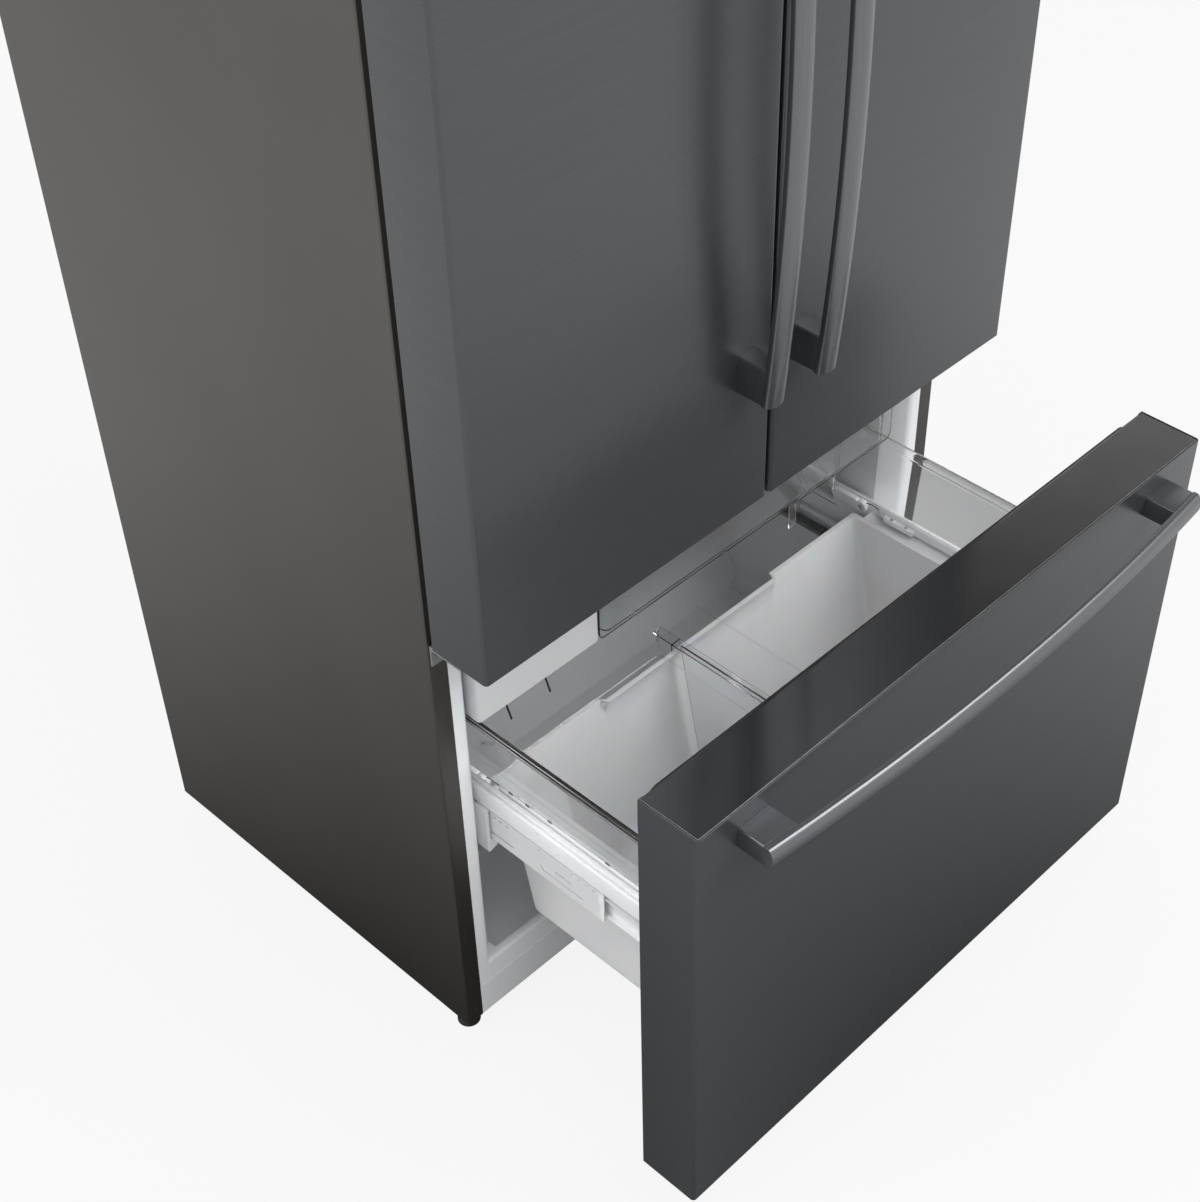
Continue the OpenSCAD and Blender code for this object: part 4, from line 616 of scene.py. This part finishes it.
def bead(path, radius=0.8, sides=8):
    """A thin round bead along a path: a circle turned to face along it at each point."""
    path = np.asarray(path, float)
    along = np.gradient(path, axis=0)
    along /= np.linalg.norm(along, axis=1)[:, None]
    aside = np.stack([-along[:, 1], along[:, 0], 0 * along[:, 0]], 1)
    round_it = circle(radius, sides)[None, :, :, None]
    up = np.array([0.0, 0.0, 1.0])
    return loft(path[:, None] + round_it[:, :, 0] * aside[:, None] + round_it[:, :, 1] * up)


def edge_path(low, high, inset, z):
    """From one back corner round the front to the other, a little inside the sheet's outline."""
    x0, x1 = low[0] + inset, high[0] - inset
    plan = soft_rectangle((x0, low[1] + inset), (x1, high[1] - 0.2), fold - inset)
    return stack(np.vstack([[(x0, high[1] - 0.4)], plan[:18], [(x1, high[1] - 0.4)]]), [z])[0]


# The first bead is the sheet's bare cut edge; the second lies on the cap's edge as a painted
# highlight.
cut_and_highlight_beads = ((0.7, 0.35, 0.4), (3.4, 0.8, 0.28))
for node in ["left_door_caps", "right_door_caps", "drawer_caps"]:
    low, high = limits(node.replace("caps", "skin"))
    make(node + "_lids", [cap(low, high, high[2], 1), cap(low, high, low[2], -1)], node)
    lines = [bead(edge_path(low, high, inset, high[2] - drop), radius)
             for inset, drop, radius in cut_and_highlight_beads]
    make(node + "_edges", lines, material=cut_steel_and_highlight, body=body_of_node[node], angle=60)

# %% [markdown]
# ## Handles
#
# A handle is an extruded bar with a flat back, short flat flanks and a rounded face, bent on a
# large radius and cut square. The face is half an ellipse: as t runs from -90 to 90 degrees,
# the width is sin t and the bulge cos t. Light lies on its upper flank as one broad soft
# streak, which needs more facets than the CAD mesh has. Its two blocks have small rounds and
# end a hair below the bar's back.

# %% Bowed bars and their blocks
bar_height, bar_depth, bar_flank, stand_off, bow, block_length = 30.0, 13.0, 5.0, 35.0, 20.0, 49.5
seat = 0.4


def bar_section(steps=24, edge=0.7):
    """(out, up) round the bar: half an ellipse, then two small round edges on the flat back."""
    t = np.linspace(-np.pi / 2, np.pi / 2, steps)
    face = [bar_flank + (bar_depth - bar_flank) * np.cos(t), bar_height / 2 * np.sin(t)]
    turn = np.linspace(0, np.pi / 2, 4)
    upper = [edge - edge * np.sin(turn), bar_height / 2 - edge + edge * np.cos(turn)]
    lower = [upper[0][::-1], -upper[1][::-1]]
    return np.hstack([face, upper, lower]).T


def arc_out(along, out, length):
    """How far a point `out` beyond the bar's back stands off the door, on the bar's arc."""
    radius = (length ** 2 / 4 + bow ** 2) / 2 / bow
    return np.sqrt((radius + out) ** 2 - along ** 2) - radius + stand_off + bow


def handle(length, place):
    """The bar and its two blocks: (along, out, up) turned into cabinet millimetres by `place`."""
    along = np.linspace(-length / 2, length / 2, 81)[:, None]
    section = bar_section()
    out = arc_out(along, section[:, 0], length)
    shells = [loft(np.stack([along + 0 * out, out, 0 * out + section[:, 1]], -1))]
    reach = bar_height / 2 - seat
    for side in (-1, 1):
        start, stop = sorted([side * (length / 2 - block_length), side * (length / 2 - seat)])
        plan = soft_rectangle((start, -reach), (stop, reach), 2.5, 6)
        rings = stack(plan, [0, 0.5, 1], axis=1)
        rings[:, :, 1] *= arc_out(plan[:, 0], 0, length) - seat
        shells.append(loft(rings))
    return [(np.stack(place(*points.T), -1), faces) for points, faces in shells]


low, high = limits("drawer_handle")
front, middle = limits("drawer_skin")[0][1], (low[2] + high[2]) / 2
bar = handle(high[0] - low[0], lambda a, o, u: (a, front - o, middle + u))
make("drawer_bar", bar, "drawer_handle", bevel=0.25)
for side in ("left_door", "right_door"):
    low, high = limits(side + "_handle")
    front = limits(side + "_skin")[0][1]
    centre, middle = (low[0] + high[0]) / 2, (low[2] + high[2]) / 2
    bar = handle(high[2] - low[2], lambda a, o, u: (centre + u, front - o, middle + a))
    make(side + "_bar", bar, side + "_handle", bevel=0.25)

# %% [markdown]
# ## Inner side of the drawer front
#
# The white inner panel ends just under the cap, so that from above only the dark cap shows. A
# copy of the CAD piece gets its top edge lowered to the cap's underside.

# %% Drawer liner
panel = nodes["drawer_liner"].data.copy()
points = np.empty((len(panel.vertices), 3))
panel.vertices.foreach_get("co", points.ravel())
points[points[:, 2] > points[:, 2].max() - 0.001, 2] -= 0.0035
panel.vertices.foreach_set("co", points.ravel())
set_up("drawer_panel", panel, "drawer_liner", None, None, 30, 0.6)

# %% [markdown]
# ## The freezer bin
#
# The big bin is one moulded tub. Its back wall leans, its floor turns up into the walls with a
# wide round inside and a small one outside, and a rim stiffens it. In the middle of the back
# the rim steps forward by 11 mm, and the step fades out a little way down. The tub is a stack
# of rounded rectangles, and where the floor turns up, both height and outline follow a quarter
# circle. The inner face is the same stack, 3 mm further in. Both meet in the rim.

# %% Bin shell
low, high = limits("freezer_bin")
rim_side, bin_low, bin_rim, bin_front, bin_back = high[0], low[2], high[2], low[1], high[1]
wall, rim_reach, rim_height, lean = 3.0, 4.0, 4.0, 0.213
notch_depth, notch_side, foot_round, inner_round = 11.0, 165.0, 8.0, 20.0


def stepped(side, front, back, step, half, turn, soft, tight, height):
    """A ring with rounded corners whose back steps forward from `back` to `step` in the middle."""
    corners = [(-side, front), (side, front), (side, back), (half, back), (half, step),
               (-half, step), (-half, back), (-side, back)]
    radii = [turn, turn, turn, tight, soft, soft, tight, turn]
    return stack(rounded(corners, radii), [height])[0]


def tub_outline(height, inset, shrink):
    """The tub at a height: `inset` is 0 outside and the wall inside, and `shrink` is how far
    the round at the floor has drawn it in. The step fades out downwards."""
    side, front = rim_side - rim_reach - inset - shrink, bin_front + inset + shrink
    back = bin_back - rim_reach - (bin_rim - height) * lean - inset - shrink
    deep = 0.02 + notch_depth * np.clip(1 - (bin_rim - height - 5) / 9, 0, 1)
    return stepped(side, front, back, back - deep, notch_side - inset, 9.0 + shrink * 0.7,
                   0.36 * deep, 0.27 * deep, height)


def rim_outline(drop, wider):
    """The rim a little below its top, `wider` millimetres beyond its full width."""
    return stepped(rim_side + wider, bin_front - wider, bin_back + wider,
                   bin_back - notch_depth + wider, notch_side - wider, 6, 3, 2, bin_rim - drop)


def tub(radius, inset, heights):
    """Rings from the first height down to the floor's middle, round a quarter circle."""
    turn = np.sin(np.linspace(0, np.pi / 2, 9)[1:])
    rings = [tub_outline(z, inset, 0.0) for z in heights]
    for s, c in zip(turn, np.sqrt(1 - turn ** 2)):
        rings.append(tub_outline(bin_low + inset + radius * (1 - s), inset, radius * (1 - c)))
    return rings


outer = tub(foot_round, 0.0, np.linspace(bin_rim - rim_height, bin_low + foot_round, 14))
down = np.linspace(bin_rim - 9, bin_low + wall + inner_round, 14)
inner = tub(inner_round, wall, np.concatenate([[bin_rim - 0.6], down]))
turn, rim_round = np.linspace(0, np.pi / 2, 5)[1:], 1.2
edge = [rim_outline(rim_height, 0.0), rim_outline(rim_round, 0.0)]
edge += [rim_outline(rim_round * (1 - np.sin(t)), rim_round * (np.cos(t) - 1)) for t in turn]
make("bin_tub", [loft(outer[::-1] + edge + inner)], "freezer_bin")

# %% [markdown]
# ## Ice bin
#
# It hangs by its side edges on runners under the freezer's roof, with a front box over its full
# width and a narrower body behind. Each is an open box: an outer stack of rounded rectangles, a
# rim, and the same stack again inside by the wall's thickness.

# %% Open boxes from stacks of rounded rectangles
def upright_box(low, high, wall, corner, foot, top_round=0.8):
    """An open box: rings go up the outside from under the floor, over the rim, and down again
    inside to the floor. Each ring has an inset, a height and a corner radius."""
    turn = np.linspace(0, np.pi / 2, 6)
    s, c = np.sin(turn), np.cos(turn)
    inner = max(foot - wall, 1.0)
    inset = [foot * (1 - s), top_round * (1 - c), [wall - 0.4, wall], wall + inner * (1 - c)]
    height = [low[2] + foot * (1 - c), high[2] - top_round * (1 - s), [high[2], high[2] - 0.4],
              low[2] + wall + inner * (1 - s)]
    radius = [corner - foot * (1 - s) * 0.5, corner + 0 * s, np.full(8, corner - wall / 2)]
    low, high = np.array(low[:2]), np.array(high[:2])
    return loft([stack(soft_rectangle(low + i, high - i, max(r, 0.4), 6), [z])[0]
                 for i, z, r in zip(*map(np.concatenate, (inset, height, radius)))])


low, high = limits("ice_bin")
edge, gap, wall, ice_front, edge_top = 7.0, 5.0, 3.0, 29.0, low[2] + 66
side_low, side_high = low[0] + gap + edge, high[0] - gap - edge
shells = [upright_box(low, (high[0], low[1] + ice_front, high[2]), wall, 5.0, 4.0),
          upright_box((side_low, low[1] + ice_front + 0.3, low[2]), (side_high, high[1], edge_top),
                      wall, 9.0, 5.0)]
shells += [slab((x, low[1] + 32, edge_top - wall), (x + edge, high[1] - 9, edge_top))
           for x in (side_low - edge, side_high)]
make("ice_box", shells, "ice_bin")

# %% [markdown]
# ## Slides and rails
#
# The drawer runs on three-part slides. The outer channel sits on the liner's wall, the middle
# channel is a punched steel strip with a track along both edges, and the inner channel hangs
# under the drawer's rail. The middle web has a row of small windows, a straight slot and two
# with a hook for the latches. Outline and holes are filled with triangles on both faces, and
# walls close the edge round each of them.

# %% A sheet with holes
from mathutils.geometry import tessellate_polygon


def punched(outer, holes, low, high):
    """Shell of a flat sheet from `low` to `high` across, as (across, u, v) points. Both faces
    are the same triangles between the outline and its holes, and every edge gets a wall."""
    outlines = [np.asarray(line, float) for line in [outer, *holes]]
    flat = np.concatenate(outlines)
    count = len(flat)
    triangles = tessellate_polygon([[Vector((*p, 0)) for p in line] for line in outlines])
    faces = [list(t) for t in triangles] + [[i + count for i in t] for t in triangles]
    start = 0
    for line in outlines:
        ring = np.arange(start, start + len(line))
        on = np.roll(ring, -1)
        faces += np.stack([ring, on, on + count, ring + count], 1).tolist()
        start += len(line)
    return stack(flat, [low, high], axis=0).reshape(-1, 3), faces


def hooked_slot(front, rear, z, rise=9.0, width=2.4):
    """A narrow slot along the channel whose rear end turns upwards."""
    return rounded([(front, z), (rear, z), (rear + 5, z + rise), (rear + 5 - width * 0.8, z + rise),
                    (rear - width * 0.8, z + width), (front, z + width)], 0.45, 3)


def along_drawer(plan, *places):
    """An (x, z) outline carried along y."""
    return loft(stack(plan, places, axis=1))


low, high = limits("slide_middles")
face, front, rear = high[0], low[1], high[1]
web_low, web_high, track, depth, strip = low[2], high[2], 8.5, 6.5, 1.5
outline = rounded([(front + 4, web_low), (rear, web_low), (rear, web_high), (front, web_high),
                   (front, web_low + 16), (front + 4, web_low + 13)], 1.6, 4)
half, row = 2.3, web_high - 7
holes = [soft_rectangle((front + d - half, row - half), (front + d + half, row + half), 0.8, 3)
         for d in (16, 28, 40, 52, 109, 165, 176, 187, 199, 255, 267, 279, 291)]
holes += [hooked_slot(front + 35, front + 104, web_low + 11),
          hooked_slot(front + 156, front + 195, web_low + 11),
          soft_rectangle((front + 54, web_low + 24), (front + 82, web_low + 26.6), 1.1, 4)]
middle = [punched(outline, holes, face - strip, face)]
for z in (web_low, web_high - track):
    plan = soft_rectangle((face - strip - depth, z), (face - strip - 0.05, z + track), 1.2, 4)
    middle.append(along_drawer(plan, front + 1, rear - 1))
make("middle_channels", both_sides(middle), "slide_middles", bevel=0.25)
softened("slide_inners", 0.4)

# %% [markdown]
# Behind the windows lies the balls' cage, a dull dark strip. The front end of the channel
# carries a moulded stop with a waisted outline. The outer channel is bent to a C. At the
# freezer's mouth a short block holds it: another C, thick below, with a raised rim round the
# opening.

# %% Cage, stops and holders
cage = slab((face - 5.5, front + 8, web_high - 12), (face - 3.0, rear - 8, web_high - 2))
make("ball_cages", both_sides([cage]), material=fan_grey, body="slide_middles", bevel=0.2)
stop = rounded([(front - 0.8, web_low + 3), (front + 7, web_low), (front + 7, web_low + 19),
                (front + 3, web_low + 24), (front + 8, web_low + 31), (front + 8, web_high - 1),
                (front - 0.8, web_high - 1)], [2, 1, 2, 1.5, 2, 1, 2], 5)
make("channel_stops", both_sides([punched(stop, [], face + 0.02, face + 0.9)]),
     material=slide_white, body="slide_middles", bevel=0.3)
wall_x, holder_front, channel_front, channel_rear = 386.0, 8.0, 28.0, 342.0


def from_wall(corners, radii, steps):
    """A rounded outline given as (inwards from the liner's wall, height)."""
    plan = rounded(corners, radii, steps)
    return np.column_stack([wall_x - plan[:, 0], plan[:, 1]])


play = 0.4 + strip
foot, head = web_low - play, web_high + play
channel = from_wall([(0, foot), (0, head), (14, head), (14, head - strip), (strip, head - strip),
                     (strip, foot + strip), (14, foot + strip), (14, foot)],
                    [1.6, 1.6, 0.4, 0.4, 0.4, 0.4, 0.4, 0.4], 4)
holder = from_wall([(0, 280), (0, web_high + 3.4), (15, web_high + 3.4), (15, web_high + 0.8),
                    (5, web_high + 0.8), (5, web_low - 1.6), (16, web_low - 1.6), (16, 284)],
                   [3, 1, 0.6, 0.4, 1.5, 1.5, 1, 4], 5)
rim = from_wall([(2.6, web_low - 4), (2.6, web_high + 2.6), (12, web_high + 2.6),
                 (12, web_high + 1.2), (4, web_high + 1.2), (4, web_low - 2.6),
                 (14, web_low - 2.6), (14, web_low - 4)],
                [2.4, 1, 0.3, 0.3, 1.2, 1.2, 0.4, 0.4], 4)
make("slide_holders", both_sides([along_drawer(channel, channel_front, channel_rear),
                                  along_drawer(holder, holder_front, channel_front - 0.05),
                                  along_drawer(rim, holder_front - 1.2, holder_front - 0.02)]),
     "slide_outers", bevel=0.3)

# %% [markdown]
# The drawer's frame is bent round its slides. From outside one sees, from the top down, a thin
# rail that carries the clear collar, a flat ridge, a groove, and the rounded edge and skirt of
# the wide rail, whose rear is cut at a slant along the leaning back wall. There hang an ear for
# the shaft and a bracket that ends in the eye of a roller.

# %% Rails
low, high = limits("drawer_rails")
front, rail_rear, rail_out, rail_top, leg_in = low[1], high[1], high[0], 385.0, 367.0
slide_middle, wall_lean, skirt, steel_t = 327.0, 0.41, 29.0, 1.5
section = rounded([(leg_in, slide_middle), (leg_in + 2, slide_middle), (leg_in + 2, rail_top - 4.2),
                   (rail_out - steel_t, rail_top - 4.2), (rail_out - steel_t, rail_top - skirt),
                   (rail_out, rail_top - skirt), (rail_out, rail_top), (rail_out - 4.0, rail_top),
                   (rail_out - 4.6, rail_top - 2.4), (rail_out - 6.2, rail_top - 2.4),
                   (rail_out - 6.6, rail_top + 2), (leg_in + 1.4, rail_top + 2),
                   (leg_in + 1.2, rail_top - 1.5), (leg_in, rail_top - 1.5)],
                  [0.4, 0.4, 0.6, 0.6, 0.5, 0.8, 2.6, 0.9, 0.5, 0.5, 1.6, 1.6, 0.3, 0.3], 5)
rings = stack(section, [0.0, 0.5, 1.0], axis=1)
slant = (rail_top - np.minimum(section[:, 1], rail_top)) * wall_lean
rings[:, :, 1] = front + (rail_rear - slant - front) * rings[:, :, 1]
ledge_top, shaft_at, pin_at = 370.6, (42, 286), (35, 375)
ear = soft_rectangle((30, 274), (56, ledge_top), [8, 8, 2, 2], 6)
bracket = rounded([(42, 369), (87, 372), (87, 382), (42, 383)], [2, 3, 4, 3], 6)
rails = [loft(rings),
         slab((leg_in - 26, front, ledge_top - 2), (leg_in, 20.0, ledge_top)),
         slab((leg_in, front, slide_middle - 16), (leg_in + 2, 29.0, slide_middle)),
         punched(ear, [circle(5.2, 32, shaft_at)], leg_in - 2, leg_in + 2),
         punched(bracket, [], leg_in - 7.5, leg_in - 0.1),
         punched(circle(9.5, 32, pin_at), [circle(5.0, 32, pin_at)], leg_in - 8.5, leg_in - 0.1)]
make("drawer_frame", both_sides(rails), "drawer_rails", bevel=0.4)

# %% [markdown]
# The roller turns on a pin inside the eye, and a thin wire runs from there to the end of the
# thin rail. On that rail sits a clip held by two screws, whose heads are low domes.

# %% Round rail, clip and small fasteners
def screw(radius=2.5, height=1.3):
    """A pan head with a rounded crown: rings shrink over a quarter ellipse."""
    t = np.linspace(0, np.pi / 2, 6)
    widths = [radius, *(radius * np.cos(t) * 0.999 + 0.001)]
    heights = [0.0, *(height * (0.35 + 0.65 * np.sin(t)))]
    return loft([stack(circle(w, 28), [z])[0] for w, z in zip(widths, heights)])


low, high = limits("top_rails")
thin_in, thin_out, thin_low, thin_top = leg_in - 8.4, leg_in - 0.4, 378.0, 392.0
plan = soft_rectangle((thin_in, thin_low), (thin_out, thin_top), [1.5, 1.5, 3.8, 3.8])
rings = stack(plan, [low[1], high[1] - 4, high[1] - 1.2, high[1]], axis=1)
centre = np.array([(thin_in + thin_out) / 2, 0, (thin_low + thin_top) / 2])
for ring, inset in zip(rings[2:], (1.0, 3.0)):
    ring[:] = centre + (ring - centre) * (1 - inset / 4.2, 1, 1 - inset / 7.2)
clip = soft_rectangle((thin_in - 7, -62), (thin_in + 3, -11), 2.0, 5)
make("round_rails", both_sides([loft(rings), loft(stack(clip, [380.2, 386.4, 387.0]))]),
     "top_rails", bevel=0.3)
dome, faces = screw()
heads = [(dome + (thin_in - 3.2, y, 387.0), faces) for y in (-49, -24)]
make("rail_screws", both_sides(heads), material=slide_steel, body="drawer")
dome, faces = screw(3.2, 1.4)
heads = [(dome[:, [0, 2, 1]] * (1, -1, 1) + (-436, 0, 16), faces)]
make("flange_screws", both_sides(heads), material=rail_paint, body="cabinet")
along = np.linspace(0, 1, 9)
wire = np.column_stack([thin_in + 4 + 0 * along, 4 + 24 * along, 384 + 3 * np.sin(np.pi * along)])
wire = wire[:, None] + stack(circle(0.7, 8), [0], axis=1)
make("roller_wire", both_sides([loft(wire)]), material=rubber_black, body="drawer", angle=60)
pin = loft(stack(circle(4.6, 24, pin_at), [leg_in - 7, leg_in - 1.5], axis=0))
make("roller_pin", both_sides([pin]), material=slide_steel, body="drawer", bevel=0.4)

# %% [markdown]
# ## Clear tray, collar and divider
#
# Clear styrene shows itself by its edges: light that enters a sheet leaves at the rim. For that
# the sheets need real thickness and small radii. The tray's front has rounded lower corners,
# two fine ribs and two tabs that hang below it.

# %% Clear tray
low, high = limits("upper_tray")
tray_front, tray_body, tray_wall, tray_edge = 4.0, 66.0, 3.0, 7.0
body_low, body_high, behind = low[0] + 11.6, high[0] - 11.6, low[1] + tray_front
plan = soft_rectangle(low[[0, 2]], high[[0, 2]], [9, 9, 3, 3])
tray = [along_drawer(plan, low[1], behind),
        upright_box((body_low, behind + 0.05, low[2]), (body_high, high[1], low[2] + tray_body),
                    tray_wall, 9.0, 4.0)]
tray += [slab((x, low[1] + 30, low[2] + tray_body - tray_wall),
              (x + tray_edge - 0.05, high[1] - 9, low[2] + tray_body))
         for x in (body_low - tray_edge, body_high + 0.05)]
tray += [slab((x - 0.6, low[1] - 0.7, low[2] + 3), (x + 0.6, low[1] - 0.05, high[2] - 3))
         for x in (192.0, 271.0)]
tray += [slab((x0, behind + 1, low[2] - drop), (x1, behind + 3, low[2] - 0.1))
         for x0, x1, drop in ((179.0, 192.0, 44.0), (269.5, 272.5, 30.0))]
make("clear_tray", tray, "upper_tray", bevel=0.4)
# A near-black bead round the front's rim is painted shade for the dark look of the clear edge.
rim = soft_rectangle(low[[0, 2]] - 0.3, (high[0] + 0.3, high[2]), 9.3)[:18]
rim = np.vstack([rim, [(high[0] + 0.3, high[2] - 8)]])
make("tray_edge", [bead(stack(rim, [low[1] + 1.6], axis=1)[0], 1.3)], material=painted_edge_shade,
     body="tray", angle=60)

# %% [markdown]
# The collar stands on the thin rails and keeps tall packs in the drawer. Each side is one
# profile: a wall that leans out by 5 mm, a narrow shelf and a short upright lip. A plain sheet
# closes the back, and small dark clips hold the left wall. Two fine beads run along the rim of
# the bin, where a lid can be laid in. The divider is a plate from front to back with a flat
# head.

# %% Collar and divider
low, high = limits("bin_collar")
foot_in, head_in, thick = 364.1, 369.1, 2.5
base, shelf_top, lip_out = 392.6, high[2] - 7.0, high[0]
wall_line = rounded([(foot_in, base), (foot_in + thick, base), (head_in + thick, shelf_top - thick),
                     (lip_out, shelf_top - thick), (lip_out, high[2]), (lip_out - thick, high[2]),
                     (lip_out - thick, shelf_top), (head_in, shelf_top)],
                    [0.5, 0.5, 1.0, 1.6, 0.7, 0.7, 1.0, 1.6], 4)
trapezoid = [(-foot_in + 0.1, base), (foot_in - 0.1, base), (head_in - 0.2, shelf_top - 0.6),
             (-head_in + 0.2, shelf_top - 0.6)]
make("clear_collar", both_sides([along_drawer(wall_line, low[1], high[1])])
     + [along_drawer(trapezoid, high[1] - thick, high[1])], "bin_collar", bevel=0.3)
# A near-black bead along the left wall's lip is painted shade for the dark look of the clear edge.
rim_shade_line = [(-lip_out + thick + 0.3, y, high[2] - 0.3)
             for y in np.linspace(low[1] + 1, high[1] - 1, 7)]
make("collar_edge", [bead(rim_shade_line, 1.1)], material=painted_edge_shade, body="drawer", angle=60)
clip_in = -(foot_in + thick)
clips = [slab((clip_in - 1.2, y - 3.5, base), (clip_in - 0.1, y + 3.5, base + 2.8))
         for y in (-20, -49, -87, -183, -293)]
make("collar_clips", clips, material=fan_grey, body="drawer", bevel=0.5)

bead_z = 376.2
corner = rounded([(-357, 32.0), (-54, 32.0), (-54, -280)], [0.5, 6, 0.5], 8)[9:18]
line = np.vstack([[(-357, 32.0), (-200, 32.0)], corner, [(-54, -150), (-54, -286)]])
beads = [bead(stack(path, [bead_z])[0]) for path in (line, [(48, 60), (48, -120), (48, -286)])]
make("lid_beads", beads, material=clear_plastic, body="drawer", angle=60)

low, high = limits("bin_divider")
middle, top, floor_z, front, thin = (low[0] + high[0]) / 2, high[2], low[2], low[1], 1.25
rear_floor, rear_top, under = 36 - 4 - (375 - floor_z) * lean - 14.4, 17.0, high[2] - 2.6
plate = rounded([(front, floor_z), (rear_floor, floor_z), (rear_top, under), (front, under)],
                [22, 22, 0.6, 0.6])
divider = [loft(stack(plate, [middle - thin, middle + thin], axis=0)),
           slab((low[0], front, top - 2.5), (high[0], high[1], top)),
           slab((low[0], 25.5, 341), (high[0], 28.0, under)),
           slab((middle - thin, high[1] - 2.5, 359), (middle + thin, high[1], under))]
make("clear_divider", divider, "bin_divider", bevel=0.35)

# %% [markdown]
# ## Seals
#
# A seal is an extruded strip of soft vinyl, welded into a frame. Its foot is pressed into a
# groove of the liner. Above it lie a folded bellows, which gives way when the door shuts, and a
# square pocket with a magnet. The profile is one closed line, and every point of it runs once
# round the door as a rounded rectangle.

# %% Gaskets
def gasket(low, high, corner=14.0):
    """A seal as a closed tube: row i is point i of the profile, carried round the frame."""
    out = high[1] - low[1]
    profile = rounded([(0.6, 0), (12.4, 0), (12.4, 1.4), (8.4, 2.6), (10.8, 3.8), (13.0, 4.4),
                       (13.0, out), (0, out), (0, 4.4), (2.2, 3.8), (4.6, 2.6), (0.6, 1.4)],
                      [0.5, 0.5, 0.5, 0.5, 0.4, 0.5, 1.2, 1.2, 0.5, 0.4, 0.5, 0.5], 3)
    rings = np.array([stack(soft_rectangle(low[[0, 2]] + i, high[[0, 2]] - i, corner - 0.8 * i, 6),
                            [low[1] + reach], axis=1)[0] for i, reach in profile])
    return rings.reshape(-1, 3), grid_faces(*rings.shape[:2], closed=True)


for front in ("left_door", "right_door", "drawer"):
    make(front + "_gasket", [gasket(*limits(front + "_seal"))], front + "_seal", angle=50)

# %% [markdown]
# ## Softer edges for the remaining pieces
#
# No moulded or pressed piece has a knife edge. Vacuum-drawn liners have rounds of up to 2 mm,
# because the hot sheet can't follow a sharp corner, moulded covers about 1 mm, folded steel
# about half its own thickness, and ground glass a small chamfer. Copies of the CAD pieces get
# these as bevels, so that each edge catches light.

# %% Bevelled copies
soft_edges = {
    "fridge_liner": 2.0, "left_door_liner": 1.5, "right_door_liner": 1.5, "mullion": 0.8,
    "outer_case": 0.6, "front_rail": 0.6, "base_strip": 0.8, "hinge_covers": 1.5,
    "door_hinges": 0.6, "base_pan": 0.4, "back_panel": 0.3, "machine_cover": 0.3,
    "compressor": 0.4, "evaporator_cover": 0.8, "air_duct": 1.2, "ice_maker": 1.2,
    "shelf_frames": 0.6, "glass_shelves": 0.4, "crisper_left": 0.7, "crisper_right": 0.7,
    "left_door_bins": 0.6, "right_door_bins": 0.6, "control_panel": 0.6, "lights": 0.8,
    "tray_runners": 0.5, "slide_racks": 0.15, "sync_shaft": 0.2}
for node, width in soft_edges.items():
    softened(node, width)

# %% [markdown]
# The freezer's liner turns into the drawer's opening over a round of 6 mm. In a copy of the CAD
# piece, the edges of its mouth are those whose two ends lie in the front plane, well inside the
# outer edge of the frame. Only these are cut back.

# %% Rounded mouth of the freezer
from mathutils.bvhtree import BVHTree

mouth_round, frame_inset = 6.0, 5.0
low, high = limits("freezer_liner")
mesh = nodes["freezer_liner"].data.copy()
work = merged(mesh)


def in_mouth(corner):
    """Whether a corner lies in the front plane and away from the frame's outer edge."""
    x, y, z = (np.array(corner.co) - front_and_foot) * 1000
    within = abs(x) < high[0] - frame_inset and low[2] + frame_inset < z < high[2] - 1
    return y < low[1] + 0.1 and within


mouth = [e for e in work.edges if all(in_mouth(v) for v in e.verts) and e.calc_face_angle(0) > 0.3]
bmesh.ops.bevel(work, geom=mouth, offset=mouth_round / 1000, segments=5, profile=0.5,
                affect="EDGES")
work.to_mesh(mesh)
wall_tree = BVHTree.FromBMesh(work)
work.free()
print("mouth edges:", len(mouth))
set_up("freezer_liner_soft", mesh, "freezer_liner", None, None, 30, 0.8)

# %% [markdown]
# The seam between the liner's lip and the strip under it shows as a fine bright line. Two
# narrow air slots lie in the leaning wall behind the bin. They are not cut: a thin black inlay
# on the wall is painted shade for the dark inside each slot. A ray finds the wall at each end of
# a slot, so that the inlay lies on the slant.

# %% Seam and air slots
low, high = limits("base_strip")
seam = [(x, low[1] + 0.1, high[2] - 0.2) for x in np.linspace(low[0] + 1, high[0] - 1, 9)]
make("seam_bead", [bead(seam, 0.6)], material=slide_white, body="cabinet", angle=60)


def wall_point(x, z):
    """Where a level line meets the freezer's rear wall, in millimetres of the cabinet."""
    start = np.array([x, 60.0, z]) / 1000 + front_and_foot
    place = wall_tree.ray_cast(Vector(start), Vector((0, 1, 0)))[0]
    return (np.array(place) - front_and_foot) * 1000


slot_foot, slot_head = 100.0, 126.0
plan = soft_rectangle((-1.6, 0.0), (1.6, slot_head - slot_foot), 1.5, 5)
slots = []
for x in (-10.0, -88.0):
    foot, head = wall_point(x, slot_foot), wall_point(x, slot_head)
    back, up = (head - foot)[1:] / np.linalg.norm(head - foot)
    slots.append(loft([np.column_stack([x + plan[:, 0], foot[1] + back * plan[:, 1] + lift * up,
                                        foot[2] + up * plan[:, 1] - lift * back])
                       for lift in (0.4, -0.3)]))
make("air_slot_shades", slots, material=rubber_black, body="cabinet")

# %% [markdown]
# ## End

# %% Closing import
import json
